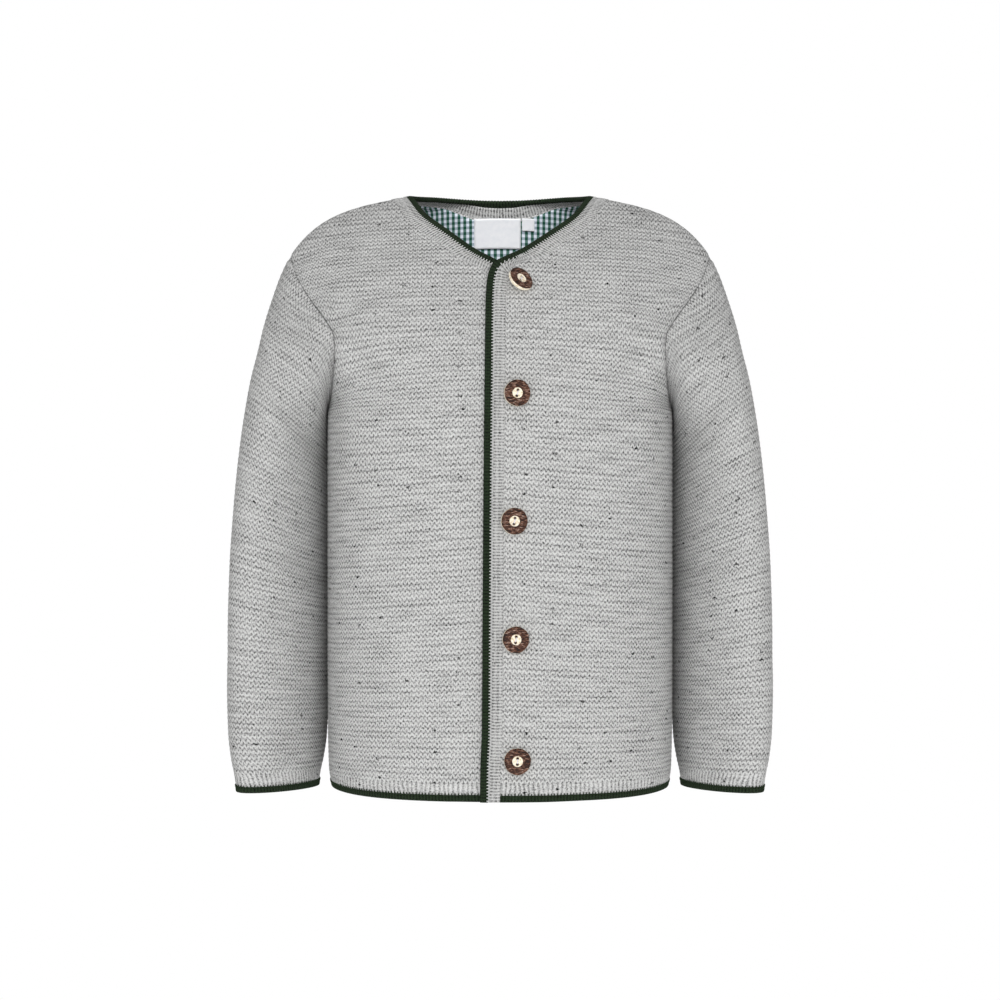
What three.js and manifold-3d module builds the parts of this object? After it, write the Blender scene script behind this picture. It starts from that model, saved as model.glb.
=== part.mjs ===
// A child's round-neck knitted cardigan with five buttons, filled out as if worn.
// Millimetres, +Z up, the front faces -Y. The origin is at the height of the neck points.
import * as THREE from "three";
import { mergeVertices } from "three/addons/utils/BufferGeometryUtils.js";
import Module from "manifold-3d";

const wasm = await Module();
wasm.setup();

// Cloth
const WALL = 2.6;
const EDGE_WALL = 3;
const FACING_WALL = 0.9;
const LABEL_WALL = 0.6;
const INSIDE_SLACK = 0.7;
const SEAM_GAP = 0.3;

// Trims, measured from the garment's edge inwards
const EDGE_WIDTH = 4.9;
const BAND_WIDTH = 8.5;
const TRIM_WIDTH = EDGE_WIDTH + BAND_WIDTH;
const HEM_EDGE = 4.6;
const CUFF_EDGE = 4.2;

// Levels along the cloth, counted up from the hem
const UNDERARM = 275;
const FRONT_TOP = 457;
const BACK_TOP = 488;
const NECK_HALF_WIDTH = 64;

// Roundness of the torso's cross sections: 2 is an ellipse, more is squarer
const ROUND = 2.4;
const COLUMNS = 10;

// Front: one row for each level, from the hem to the shoulder seam.
// yMid and zMid lie on the centre line, the side columns on the side seam and the armhole.
// turn is 1 where the section closes at the side, less where the armhole cuts it short.
const FRONT = [
  { level: 0, yMid: -88, zMid: -432.5, xSide: 121, ySide: 0, zSide: -428.5, turn: 1 },
  { level: 18, yMid: -88.5, zMid: -415, xSide: 123.6, ySide: 0, zSide: -414, turn: 1 },
  { level: 60, yMid: -89, zMid: -373, xSide: 124.4, ySide: 0, zSide: -373, turn: 1 },
  { level: 133, yMid: -89.5, zMid: -300, xSide: 124.6, ySide: 0, zSide: -300, turn: 1 },
  { level: 233, yMid: -88, zMid: -200, xSide: 124.6, ySide: 0, zSide: -200, turn: 1 },
  { level: 275, yMid: -85.5, zMid: -158, xSide: 124.4, ySide: 0, zSide: -158, turn: 1 },
  { level: 305, yMid: -82, zMid: -129, xSide: 121.5, ySide: -27, zSide: -145, turn: 0.99 },
  { level: 330, yMid: -77.5, zMid: -105, xSide: 119, ySide: -44, zSide: -128, turn: 0.97 },
  { level: 350, yMid: -71.5, zMid: -86, xSide: 118, ySide: -49, zSide: -113, turn: 0.95 },
  { level: 368, yMid: -64.5, zMid: -70, xSide: 119, ySide: -47.5, zSide: -103, turn: 0.93 },
  { level: 388, yMid: -56, zMid: -52.5, xSide: 126, ySide: -41, zSide: -91, turn: 0.9 },
  { level: 410, yMid: -43, zMid: -36, xSide: 137, ySide: -29, zSide: -76, turn: 0.88 },
  { level: 430, yMid: -28.5, zMid: -20.5, xSide: 147, ySide: -18.5, zSide: -59.5, turn: 0.86 },
  { level: 447, yMid: -11, zMid: -5, xSide: 151.8, ySide: -6, zSide: -46.2, turn: 0.85 },
  { level: 457, yMid: 3, zMid: 4, xSide: 153, ySide: 3, zSide: -43, turn: 0.85 },
];

// Back: the same columns, up over the shoulder blades to the same shoulder seam
const BACK = [
  { level: 0, yMid: 82, zMid: -433, xSide: 121, ySide: 0, zSide: -428.5, turn: 1 },
  { level: 18, yMid: 82, zMid: -415, xSide: 123.6, ySide: 0, zSide: -414, turn: 1 },
  { level: 60, yMid: 80.5, zMid: -373, xSide: 124.4, ySide: 0, zSide: -373, turn: 1 },
  { level: 133, yMid: 79, zMid: -300, xSide: 124.6, ySide: 0, zSide: -300, turn: 1 },
  { level: 233, yMid: 81, zMid: -200, xSide: 124.6, ySide: 0, zSide: -200, turn: 1 },
  { level: 275, yMid: 84, zMid: -158, xSide: 124.4, ySide: 0, zSide: -158, turn: 1 },
  { level: 305, yMid: 85.5, zMid: -128, xSide: 122, ySide: 29, zSide: -146, turn: 0.99 },
  { level: 335, yMid: 84, zMid: -98, xSide: 120.5, ySide: 51, zSide: -125, turn: 0.97 },
  { level: 360, yMid: 79.5, zMid: -73.5, xSide: 121.5, ySide: 58, zSide: -105, turn: 0.95 },
  { level: 385, yMid: 72.5, zMid: -49.5, xSide: 126, ySide: 55, zSide: -88, turn: 0.93 },
  { level: 410, yMid: 63, zMid: -27, xSide: 135, ySide: 44, zSide: -72, turn: 0.9 },
  { level: 432, yMid: 52, zMid: -8.5, xSide: 143, ySide: 31, zSide: -59, turn: 0.88 },
  { level: 446, yMid: 44, zMid: 1, xSide: 147.6, ySide: 22.5, zSide: -50.5, turn: 0.87 },
  { level: 468, yMid: 24, zMid: 3.8, xSide: 151.9, ySide: 12, zSide: -45, turn: 0.85 },
  { level: 488, yMid: 3, zMid: 4, xSide: 153, ySide: 3, zSide: -43, turn: 0.85 },
];

// Free edges seen from the front: x of the edge at each level, measured towards the side.
// The over front's corner is round; the under front runs on behind it.
const OVER_EDGE = [
  { level: 0, x: -13.5 }, { level: 25, x: -13.2 }, { level: 50, x: -12.2 }, { level: 130, x: -11.7 },
  { level: 230, x: -11 }, { level: 300, x: -10.3 }, { level: 350, x: -9.8 }, { level: 366, x: -9.2 },
  { level: 376, x: -8.2 }, { level: 383, x: -6.2 }, { level: 388, x: -2.6 }, { level: 392, x: 3.4 },
  { level: 398.6, x: 13.5 },
  { level: 410, x: 25.8 }, { level: 428, x: 42.9 }, { level: 441, x: 54.6 }, { level: 457, x: 64 },
];
const UNDER_EDGE = [
  { level: 0, x: -25 }, { level: 340, x: -25 }, { level: 357, x: -23.4 }, { level: 369, x: -18.5 },
  { level: 378.5, x: -11 }, { level: 385.5, x: -4.5 }, { level: 391, x: 1.6 }, { level: 400, x: 13.5 },
  { level: 411.5, x: 25.8 }, { level: 428.8, x: 42.9 }, { level: 441, x: 54.6 }, { level: 457, x: 64 },
];
const BACK_NECKLINE = [
  { x: 0, level: 446 }, { x: 10, level: 446.8 }, { x: 22, level: 450 }, { x: 37, level: 457.5 },
  { x: 50, level: 468 }, { x: 58.5, level: 478.5 }, { x: 64, level: 488 },
];

// Sleeve: one tilted ring for each distance down the arm, from the armhole to the cuff
const SLEEVE = [
  { run: 0, xIn: 124.4, zIn: -158, xOut: 153, zOut: -43, yFront: -50, yBack: 58 },
  { run: 10, xIn: 128.2, zIn: -162, xOut: 160.2, zOut: -60, yFront: -52, yBack: 58.5 },
  { run: 26, xIn: 127.9, zIn: -171, xOut: 166, zOut: -80, yFront: -51, yBack: 57 },
  { run: 48, xIn: 126.8, zIn: -185, xOut: 172, zOut: -104, yFront: -48.5, yBack: 54 },
  { run: 80, xIn: 126.3, zIn: -206, xOut: 179.8, zOut: -138, yFront: -46, yBack: 49 },
  { run: 115, xIn: 126.5, zIn: -233, xOut: 186.4, zOut: -180, yFront: -45, yBack: 44 },
  { run: 155, xIn: 126.8, zIn: -266, xOut: 190.9, zOut: -224, yFront: -44.5, yBack: 40 },
  { run: 195, xIn: 126.9, zIn: -299, xOut: 193.9, zOut: -270, yFront: -44, yBack: 37 },
  { run: 235, xIn: 127, zIn: -334, xOut: 195.2, zOut: -316, yFront: -43, yBack: 35 },
  { run: 270, xIn: 127.4, zIn: -365, xOut: 195.6, zOut: -355, yFront: -41.5, yBack: 33 },
  { run: 300, xIn: 128.6, zIn: -393, xOut: 194.8, zOut: -388, yFront: -39.5, yBack: 31 },
  { run: 318, xIn: 131, zIn: -410, xOut: 192.6, zOut: -408, yFront: -37, yBack: 29 },
  { run: 330, xIn: 133.6, zIn: -421.5, xOut: 189.8, zOut: -421.5, yFront: -34.5, yBack: 26.5 },
  { run: 339.5, xIn: 134.8, zIn: -431, xOut: 188.6, zOut: -431, yFront: -33.5, yBack: 25.5 },
];
const SLEEVE_END = 339.5;
const CAP_REACH = 70;
// The inner arm lies this far behind the outer arm's middle, against the body's side
const INNER_BACK = 23;
const INNER_BACK_REACH = 45;
const SLEEVE_RUNS = [0, 5, 12, 22, 36, 52, 72, 96, 124, 155, 188, 222, 256, 288, 312, 326];

// Button fastening: the over front lies this far outside the middle surface, the under front inside
const LAP = 1.75;
const OVER_LAP_FLAT = 27;
const OVER_LAP_END = 56;
const UNDER_LAP_FLAT = 17;
const UNDER_LAP_END = 40;

const BUTTON_RADIUS = 9.4;
const BUTTON_THICKNESS = 3.2;
const BUTTON_BEVEL = 0.6;
const BUTTON_HOLE_RADIUS = 0.8;
const BUTTON_HOLE_SPACING = 4.1;
const BUTTON_SIDES = 18;
const HOLE_SIDES = 8;
const THREAD_RADIUS = 1.1;
const THREAD_SETBACK = 0.6;
const THREAD_SIDES = 8;
const SLOT_HALF_LENGTH = 8.4;
const SLOT_HALF_WIDTH = 1.6;
// x and z of each button's centre, its height over the cloth, and the way its face points
const BUTTONS = [
  { x: 13.6, z: -69.6, lift: 5.3, face: [0.54, -0.64, 0.55] },
  { x: 11.6, z: -147, lift: 2.6, face: [0.2, -0.98, 0.04] },
  { x: 9.6, z: -236, lift: 2.4, face: [0.19, -0.98, 0.03] },
  { x: 10.7, z: -318.5, lift: 2, face: [0.14, -0.99, 0.02] },
  { x: 12, z: -403.5, lift: 1.2, face: [0.05, -1, 0.04] },
];

// Half-moon facing inside the back neck and the two labels sewn on it
const FACING_HALF_WIDTH = 92;
const FACING_DEPTH = 64;
const FACING_TIP = 4;
const FACING_CURVE = 2.6;
const FACING_TOP = BACK_TOP - 2;
const FACING_BELOW_BAND = 1;
const MAIN_LABEL = { left: -19.5, right: 15.6, bottom: 406, top: 432 };
const SIZE_LABEL = { left: 16.6, right: 26, bottom: 421.5, top: 432.5 };

// The largest soft folds: a trough or ridge at a level and x, with its half length and half width,
// the angle of its length to the rows, and its height (a trough is negative).
const FRONT_FOLDS = [
  { level: 322, x: 99, length: 34, width: 9, angle: 62, height: -3.2 },
  { level: 344, x: 86, length: 30, width: 12, angle: 58, height: 1.8 },
  { level: 262, x: 104, length: 46, width: 11, angle: 80, height: 1.6 },
];
const BACK_FOLDS = [
  { level: 330, x: 101, length: 38, width: 10, angle: 66, height: -2.6 },
  { level: 352, x: 84, length: 34, width: 13, angle: 60, height: 1.5 },
];
const SLEEVE_FOLDS = [
  { run: 60, angle: 100, length: 60, width: 12, height: -2 },
  { run: 168, angle: 60, length: 55, width: 11, height: -1.8 },
  { run: 190, angle: 75, length: 50, width: 12, height: 1.4 },
  { run: 150, angle: 300, length: 60, width: 12, height: -1.8 },
  { run: 250, angle: 110, length: 50, width: 11, height: -1.3 },
];

// Colours and finish
const GREY = { color: 0xbcbcba, roughness: 0.95 };
const SLEEVE_GREY = { color: 0xb4b4b2, roughness: 0.95 };
const BAND_GREY = { color: 0xb4b4b3, roughness: 0.95 };
const GREEN = { color: 0x2c3829, roughness: 0.9 };
const GINGHAM = { color: 0x7d9c92, roughness: 0.85 };
const WHITE = { color: 0xf0f0ee, roughness: 0.8 };
const HORN = { color: 0x5c3a28, roughness: 0.45 };

// A smooth curve without overshoot through a table's column, by monotone cubics
function column(table, key, value) {
  const xs = table.map((row) => row[key]);
  const ys = table.map((row) => row[value]);
  const steps = xs.slice(1).map((x, i) => x - xs[i]);
  const slopes = steps.map((step, i) => (ys[i + 1] - ys[i]) / step);
  const tangents = ys.map((y, i) => {
    if (i === 0) return slopes[0];
    if (i === ys.length - 1) return slopes[i - 1];
    if (slopes[i - 1] * slopes[i] <= 0) return 0;
    const before = 2 * steps[i] + steps[i - 1];
    const after = steps[i] + 2 * steps[i - 1];
    return (before + after) / (before / slopes[i - 1] + after / slopes[i]);
  });
  return (x) => {
    const inside = Math.min(Math.max(x, xs[0]), xs[xs.length - 1]);
    let i = 0;
    while (i < steps.length - 1 && inside > xs[i + 1]) i += 1;
    const t = (inside - xs[i]) / steps[i];
    const cubic = ys[i] * (1 + 2 * t) * (1 - t) ** 2 + ys[i + 1] * t * t * (3 - 2 * t);
    return cubic + steps[i] * (tangents[i] * t * (1 - t) ** 2 + tangents[i + 1] * t * t * (t - 1));
  };
}

const smooth = (t) => {
  const s = Math.min(Math.max(t, 0), 1);
  return s * s * (3 - 2 * s);
};

// A half torso: point(level, angle) where angle runs from 0 on the centre line to a quarter turn
// at the side. x follows a superellipse; y rises from yMid to ySide along its arc; z falls from
// zMid to zSide along the slope of a shoulder, half a square and half an eighth power of x.
class Torso {
  constructor(table, outward, folds) {
    this.outward = outward;
    this.folds = folds;
    this.at = {};
    for (const key of ["yMid", "zMid", "xSide", "ySide", "zSide", "turn"]) {
      this.at[key] = column(table, "level", key);
    }
  }

  angle(level, x) {
    const part = Math.min(Math.abs(x) / this.at.xSide(level), 1);
    return Math.sign(x) * Math.asin(part ** (ROUND / 2));
  }

  point(level, angle) {
    const { yMid, zMid, xSide, ySide, zSide, turn } = this.at;
    const part = Math.abs(Math.sin(angle)) ** (2 / ROUND);
    const cut = turn(level);
    const rise = 1 - Math.max(1 - (cut * part) ** ROUND, 0) ** (1 / ROUND);
    const full = 1 - Math.max(1 - cut ** ROUND, 0) ** (1 / ROUND);
    const fall = 0.5 * part ** 2 + 0.5 * part ** 8;
    return new THREE.Vector3(
      Math.sign(angle) * part * xSide(level),
      yMid(level) + ((ySide(level) - yMid(level)) * rise) / full,
      zMid(level) + (zSide(level) - zMid(level)) * fall,
    );
  }

  normal(level, angle) {
    const turnStep = 0.02;
    const levelStep = 0.5;
    const high = Math.min(angle + turnStep, Math.PI / 2);
    const along = this.point(level, high).sub(this.point(level, high - 2 * turnStep));
    const up = this.point(level + levelStep, angle).sub(this.point(level - levelStep, angle));
    return along.cross(up).multiplyScalar(this.outward).normalize();
  }

  // The level's row from x = start to the side, at even distances along the cloth
  row(level, start, count, trimEnd = 0) {
    const turns = [];
    const first = this.angle(level, start);
    const samples = 120;
    for (let i = 0; i <= samples; i += 1) turns.push(first + ((Math.PI / 2 - first) * i) / samples);
    const points = turns.map((angle) => this.point(level, angle));
    const lengths = [0];
    for (let i = 1; i <= samples; i += 1) lengths.push(lengths[i - 1] + points[i].distanceTo(points[i - 1]));
    const total = lengths[samples] - trimEnd;
    const angles = [];
    let i = 1;
    for (let k = 0; k <= count; k += 1) {
      const wanted = (total * k) / count;
      while (i < samples && lengths[i] < wanted) i += 1;
      const share = (wanted - lengths[i - 1]) / Math.max(lengths[i] - lengths[i - 1], 1e-9);
      angles.push(turns[i - 1] + (turns[i] - turns[i - 1]) * Math.min(Math.max(share, 0), 1));
    }
    return angles;
  }

  // Soft folds: each is a bell across its width and along its length
  fold(level, x) {
    let height = 0;
    for (const fold of this.folds) {
      const lean = (fold.angle * Math.PI) / 180;
      const dx = Math.abs(x) - fold.x;
      const dv = level - fold.level;
      const along = dx * Math.cos(lean) + dv * Math.sin(lean);
      const across = dv * Math.cos(lean) - dx * Math.sin(lean);
      height += fold.height * Math.exp(-((along / fold.length) ** 2) - (across / fold.width) ** 2);
    }
    return height;
  }
}

const front = new Torso(FRONT, 1, FRONT_FOLDS);
const back = new Torso(BACK, -1, BACK_FOLDS);

// Distance from the middle surface of a point at x, in the lap of the two fronts
const overLap = (x) => LAP * (1 - smooth((x - OVER_LAP_FLAT) / (OVER_LAP_END - OVER_LAP_FLAT)));
const underLap = (x) => -LAP * (1 - smooth((x - UNDER_LAP_FLAT) / (UNDER_LAP_END - UNDER_LAP_FLAT)));
const noLap = () => 0;

// Rows shared by neighbouring pieces, so that their seams have the same corners
const BODY_LEVELS = [HEM_EDGE + SEAM_GAP, 22, 42, 62, 84, 106, 128, 150, 172, 194, 216, 238, 258, UNDERARM];
const FRONT_YOKE = [286, 298, 311, 324, 337, 350, 361, 371, 380, 386, 392, 400, 411, 424, 440, FRONT_TOP];
const BACK_YOKE = [288, 303, 319, 336, 353, 370, 388, 406, 421];

// A trim that meets its row at a slant is widened along the row, at most by this sine
const SHARPEST_SINE = 0.45;

// Across the edge of a front: how far x moves for each millimetre of trim, at a level
function acrossEdge(torso, edge, level) {
  const step = 1.5;
  const low = level - step;
  const high = Math.min(level + step, FRONT_TOP);
  const place = (l) => torso.point(l, torso.angle(l, edge(l)));
  const along = place(high).sub(place(low)).normalize();
  const x = edge(level);
  const outwards = torso.point(level, torso.angle(level, x + 2)).sub(torso.point(level, torso.angle(level, x)));
  const reach = outwards.length() / 2;
  const sine = along.cross(outwards.normalize()).length();
  return 1 / (reach * Math.max(sine, SHARPEST_SINE));
}

// Towards the shoulder seam the back neck's trim turns to run along the seam, from this x on
const NECK_TURN_START = 44;

// The back neck: at a place x on the neckline, the move in level and x for each millimetre of trim
const backNeckline = column(BACK_NECKLINE, "x", "level");
function acrossNeck(x) {
  const step = 0.5;
  const place = (at) => back.point(backNeckline(at), back.angle(backNeckline(at), at));
  const level = backNeckline(x);
  const angle = back.angle(level, x);
  const along = place(Math.min(x + step, NECK_HALF_WIDTH)).sub(place(x - step)).normalize();
  const perLevel = back.point(level, back.angle(level, x)).sub(back.point(level - 1, back.angle(level - 1, x)));
  const perX = back.point(level, back.angle(level, x + 1)).sub(back.point(level, angle));
  const away = back.normal(level, angle).cross(along).normalize();
  if (away.dot(perLevel) > 0) away.negate();
  const a = perLevel.dot(perLevel);
  const b = perLevel.dot(perX);
  const c = perX.dot(perX);
  const p = away.dot(perLevel);
  const q = away.dot(perX);
  const determinant = a * c - b * b;
  const square = { level: (p * c - q * b) / determinant, x: (q * a - p * b) / determinant };
  const sine = along.cross(perX.clone().normalize()).length();
  const share = smooth((x - NECK_TURN_START) / (NECK_HALF_WIDTH - NECK_TURN_START));
  return { level: square.level * (1 - share), x: square.x * (1 - share) + share / (perX.length() * sine) };
}

// Where the back panel starts at each level: the inner edge of the neck band
const NECK_TICKS = [0, 7, 15, 25, 36, 47, 56, NECK_HALF_WIDTH];
const neckTrim = (x, distance) => {
  const move = acrossNeck(x);
  return { level: backNeckline(x) + move.level * distance, x: x + move.x * distance };
};
const panelNeck = NECK_TICKS.map((x) => neckTrim(x, TRIM_WIDTH + SEAM_GAP / 2));

// A closed wall round a net of points: each point has a direction in which the cloth is thick
class Wall {
  constructor(thickness) {
    this.thickness = thickness;
    this.points = [];
    this.ways = [];
    this.faces = [];
  }

  add(point, way) {
    this.points.push(point);
    this.ways.push(way);
    return this.points.length - 1;
  }

  // Quads between neighbouring rows of indices; closed joins each row's end to its start
  net(rows, closed = false) {
    for (let j = 0; j < rows.length - 1; j += 1) {
      const count = closed ? rows[j].length : rows[j].length - 1;
      for (let i = 0; i < count; i += 1) {
        const k = (i + 1) % rows[j].length;
        this.quad(rows[j][i], rows[j][k], rows[j + 1][k], rows[j + 1][i]);
      }
    }
  }

  quad(a, b, c, d) {
    if (a !== b) this.faces.push([a, b, c]);
    if (c !== d) this.faces.push([a, c, d]);
  }

  mirror() {
    const twin = new Wall(this.thickness);
    const flip = (v) => new THREE.Vector3(-v.x, v.y, v.z);
    twin.points = this.points.map(flip);
    twin.ways = this.ways.map(flip);
    twin.faces = this.faces.map(([a, b, c]) => [a, c, b]);
    return twin;
  }

  geometry() {
    const half = this.thickness / 2;
    const count = this.points.length;
    const all = [];
    for (const sign of [1, -1]) {
      this.points.forEach((p, i) => all.push(p.clone().addScaledVector(this.ways[i], sign * half)));
    }
    const triangles = [];
    const rims = new Map();
    for (const [a, b, c] of this.faces) {
      triangles.push([a, b, c], [a + count, c + count, b + count]);
      for (const [from, to] of [[a, b], [b, c], [c, a]]) {
        if (!rims.delete(`${to},${from}`)) rims.set(`${from},${to}`, [from, to]);
      }
    }
    const rank = (i) => this.points[i].z + 0.4 * Math.abs(this.points[i].x) + 0.2 * this.points[i].y;
    for (const [from, to] of rims.values()) {
      if (rank(from) > rank(to)) triangles.push([from, from + count, to + count], [from, to + count, to]);
      else triangles.push([from, from + count, to], [from + count, to + count, to]);
    }
    let volume = 0;
    for (const [a, b, c] of triangles) volume += all[a].dot(all[b].clone().cross(all[c]));
    const index = triangles.flatMap(([a, b, c]) => (volume > 0 ? [a, b, c] : [a, c, b]));
    const geometry = new THREE.BufferGeometry();
    geometry.setAttribute("position", new THREE.Float32BufferAttribute(all.flatMap((p) => p.toArray()), 3));
    geometry.setIndex(index);
    return geometry;
  }
}

const group = new THREE.Group();
group.name = "cardigan";
function addPiece(name, geometry, { color, roughness }) {
  const material = new THREE.MeshStandardMaterial({ color, roughness, metalness: 0 });
  const mesh = new THREE.Mesh(geometry, material);
  mesh.name = name;
  group.add(mesh);
  return mesh;
}

// Sleeve ring: a tilted ellipse, corrected near the armhole so that its first ring is the armhole
const sleeveAt = {};
for (const key of ["xIn", "zIn", "xOut", "zOut", "yFront", "yBack"]) sleeveAt[key] = column(SLEEVE, "run", key);

function ringPoint(run, turn) {
  const { xIn, zIn, xOut, zOut, yFront, yBack } = sleeveAt;
  const side = Math.cos(turn);
  const middle = (yFront(run) + yBack(run)) / 2;
  const depth = (yBack(run) - yFront(run)) / 2;
  return new THREE.Vector3(
    (xIn(run) + xOut(run)) / 2 - ((xOut(run) - xIn(run)) / 2) * side,
    middle + INNER_BACK * smooth(run / INNER_BACK_REACH) * side - depth * Math.sin(turn),
    (zIn(run) + zOut(run)) / 2 - ((zOut(run) - zIn(run)) / 2) * side,
  );
}

// Armhole corners: up the front from the underarm to the shoulder, then down the back.
// The turn of each corner is its share of the length of its half of the armhole.
function armholeHalf(torso, levels) {
  const points = levels.map((level) => torso.point(level, Math.PI / 2));
  const lengths = [0];
  for (let i = 1; i < points.length; i += 1) lengths.push(lengths[i - 1] + points[i].distanceTo(points[i - 1]));
  const total = lengths[lengths.length - 1];
  return levels.map((level, i) => ({ torso, level, point: points[i], share: lengths[i] / total }));
}
const backUpper = panelNeck.slice(1).map((place) => place.level);
const backYokeLevels = [...BACK_YOKE, panelNeck[0].level, ...backUpper.slice(0, -1), BACK_TOP];
const frontCorners = armholeHalf(front, [UNDERARM, ...FRONT_YOKE]);
const backCorners = armholeHalf(back, [UNDERARM, ...backYokeLevels]);
const armhole = [
  ...frontCorners.map((corner) => ({ ...corner, turn: Math.PI * corner.share })),
  ...backCorners.slice(1, -1).reverse().map((corner) => ({ ...corner, turn: Math.PI * (2 - corner.share) })),
];
armhole.forEach((corner) => {
  corner.shift = corner.point.clone().sub(ringPoint(0, corner.turn));
});

function sleevePoint(run, corner) {
  const fade = 1 - smooth(run / CAP_REACH);
  return ringPoint(run, corner.turn).addScaledVector(corner.shift, fade);
}

function sleeveWay(run, index) {
  const count = armhole.length;
  const before = armhole[(index + count - 1) % count];
  const after = armhole[(index + 1) % count];
  const low = Math.max(run - 2, 0);
  const high = Math.min(run + 2, SLEEVE_END);
  const round = sleevePoint(run, after).sub(sleevePoint(run, before));
  const down = sleevePoint(high, armhole[index]).sub(sleevePoint(low, armhole[index]));
  return down.cross(round).normalize();
}

// At the armhole seam the two walls share one direction, between those of the torso and the sleeve
armhole.forEach((corner, index) => {
  const torsoWay = corner.torso.normal(corner.level, Math.PI / 2);
  corner.way = torsoWay.add(sleeveWay(0, index)).normalize();
});
const seamWay = (torso, level) => {
  const corner = armhole.find((c) => c.level === level && (c.torso === torso || level === UNDERARM));
  return corner ? corner.way : armhole.find((c) => c.torso === front && c.level === FRONT_TOP).way;
};

function sleeveFold(run, turn) {
  let height = 0;
  for (const fold of SLEEVE_FOLDS) {
    const around = Math.abs(THREE.MathUtils.radToDeg(turn) - fold.angle);
    const apart = Math.min(around, 360 - around);
    height += fold.height * Math.exp(-((apart / fold.length) ** 2) - ((run - fold.run) / fold.width) ** 2);
  }
  return height;
}

// On the shoulder seam the walls of front and back share the direction between their normals
function shoulderWay(angle) {
  return front.normal(FRONT_TOP, angle).add(back.normal(BACK_TOP, angle)).normalize();
}
function clothWay(torso, level, angle) {
  const top = torso === front ? FRONT_TOP : BACK_TOP;
  return level > top - SEAM_GAP ? shoulderWay(angle) : torso.normal(level, angle);
}

const sideWay = () => new THREE.Vector3(1, 0, 0);

// One half of a torso panel, from x = start(level) to the side seam and the armhole
function halfPanel(torso, levels, start, lap) {
  const wall = new Wall(WALL);
  const rows = levels.map((level) => {
    const onArmhole = level >= UNDERARM;
    const angles = torso.row(level, start(level), COLUMNS, SEAM_GAP / 2);
    return angles.map((angle, i) => {
      const base = torso.point(level, angle);
      const normal = clothWay(torso, level, angle);
      base.addScaledVector(normal, lap(base.x) + torso.fold(level, base.x) * Math.min(1, (COLUMNS - i) / 2));
      const atSide = i === COLUMNS;
      const way = atSide && onArmhole ? seamWay(torso, level) : normal;
      return wall.add(base, atSide && !onArmhole ? sideWay() : way);
    });
  });
  wall.net(rows);
  return wall;
}

// A strip along the free edge of a front, between two distances from the edge
function edgeStrip(levels, edge, from, to, thickness, lap) {
  const wall = new Wall(thickness);
  const rows = levels.map((level) => [from, to].map((distance) => {
    const x = edge(level) + acrossEdge(front, edge, level) * distance;
    const angle = front.angle(level, x);
    const normal = clothWay(front, level, angle);
    return wall.add(front.point(level, angle).addScaledVector(normal, lap(x)), normal);
  }));
  wall.net(rows);
  return wall;
}

// A strip round the back neck, from one shoulder seam to the other
function neckStrip(from, to, thickness) {
  const wall = new Wall(thickness);
  const ticks = [...NECK_TICKS.slice(1).map((x) => -x).reverse(), ...NECK_TICKS];
  const rows = ticks.map((tick) => [from, to].map((distance) => {
    const place = neckTrim(Math.abs(tick), distance);
    const level = Math.abs(tick) === NECK_HALF_WIDTH ? BACK_TOP - SEAM_GAP / 2 : place.level;
    const angle = back.angle(level, place.x);
    const flip = new THREE.Vector3(tick < 0 ? -1 : 1, 1, 1);
    return wall.add(back.point(level, angle).multiply(flip), clothWay(back, level, angle).multiply(flip));
  }));
  wall.net(rows);
  return wall;
}

// A closed solid from a geometry, ready to be cut
function solid(geometry) {
  const plain = geometry.clone();
  for (const name of ["normal", "uv"]) plain.deleteAttribute(name);
  const merged = mergeVertices(plain, 1e-4);
  return new wasm.Manifold(new wasm.Mesh({
    numProp: 3,
    vertProperties: new Float32Array(merged.attributes.position.array),
    triVerts: new Uint32Array(merged.index.array),
  }));
}
function geometryOf(manifold) {
  const mesh = manifold.getMesh();
  const geometry = new THREE.BufferGeometry();
  geometry.setAttribute("position", new THREE.BufferAttribute(new Float32Array(mesh.vertProperties), 3));
  geometry.setIndex(new THREE.BufferAttribute(new Uint32Array(mesh.triVerts), 1));
  return geometry;
}

// Buttons: a thick disc with two holes, its face turned the way the photographed ones lean
function buttonFrame({ x, z, lift, face }) {
  const level = levelAt(x, z);
  const angle = front.angle(level, x);
  const normal = front.normal(level, angle);
  const cloth = front.point(level, angle).addScaledVector(normal, overLap(x) + WALL / 2);
  const forward = new THREE.Vector3(...face).normalize();
  const seat = cloth.clone().addScaledVector(normal, SEAM_GAP + lift);
  return { normal, cloth, forward, seat };
}

// The level whose row passes through a given x and z of the front
function levelAt(x, z) {
  let low = 0;
  let high = FRONT_TOP;
  for (let i = 0; i < 40; i += 1) {
    const middle = (low + high) / 2;
    if (front.point(middle, front.angle(middle, x)).z < z) low = middle;
    else high = middle;
  }
  return low;
}

function circle(radius, y, sides) {
  return Array.from({ length: sides }, (_, i) => {
    const turn = (2 * Math.PI * i) / sides;
    return new THREE.Vector2(radius * Math.cos(turn), y + radius * Math.sin(turn));
  });
}

function buttonGeometry({ forward, seat }) {
  const disc = new THREE.Shape(circle(BUTTON_RADIUS - BUTTON_BEVEL / 2, 0, BUTTON_SIDES));
  for (const side of [-1, 1]) {
    const ring = circle(BUTTON_HOLE_RADIUS + BUTTON_BEVEL / 2, (side * BUTTON_HOLE_SPACING) / 2, HOLE_SIDES);
    disc.holes.push(new THREE.Path(ring));
  }
  const geometry = new THREE.ExtrudeGeometry(disc, {
    depth: BUTTON_THICKNESS - 2 * BUTTON_BEVEL,
    bevelThickness: BUTTON_BEVEL,
    bevelSize: BUTTON_BEVEL / 2,
    bevelSegments: 1,
  });
  geometry.translate(0, 0, BUTTON_BEVEL);
  const turn = new THREE.Quaternion().setFromUnitVectors(new THREE.Vector3(0, 0, 1), forward);
  geometry.applyQuaternion(turn);
  geometry.translate(seat.x, seat.y, seat.z);
  return geometry;
}

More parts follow.
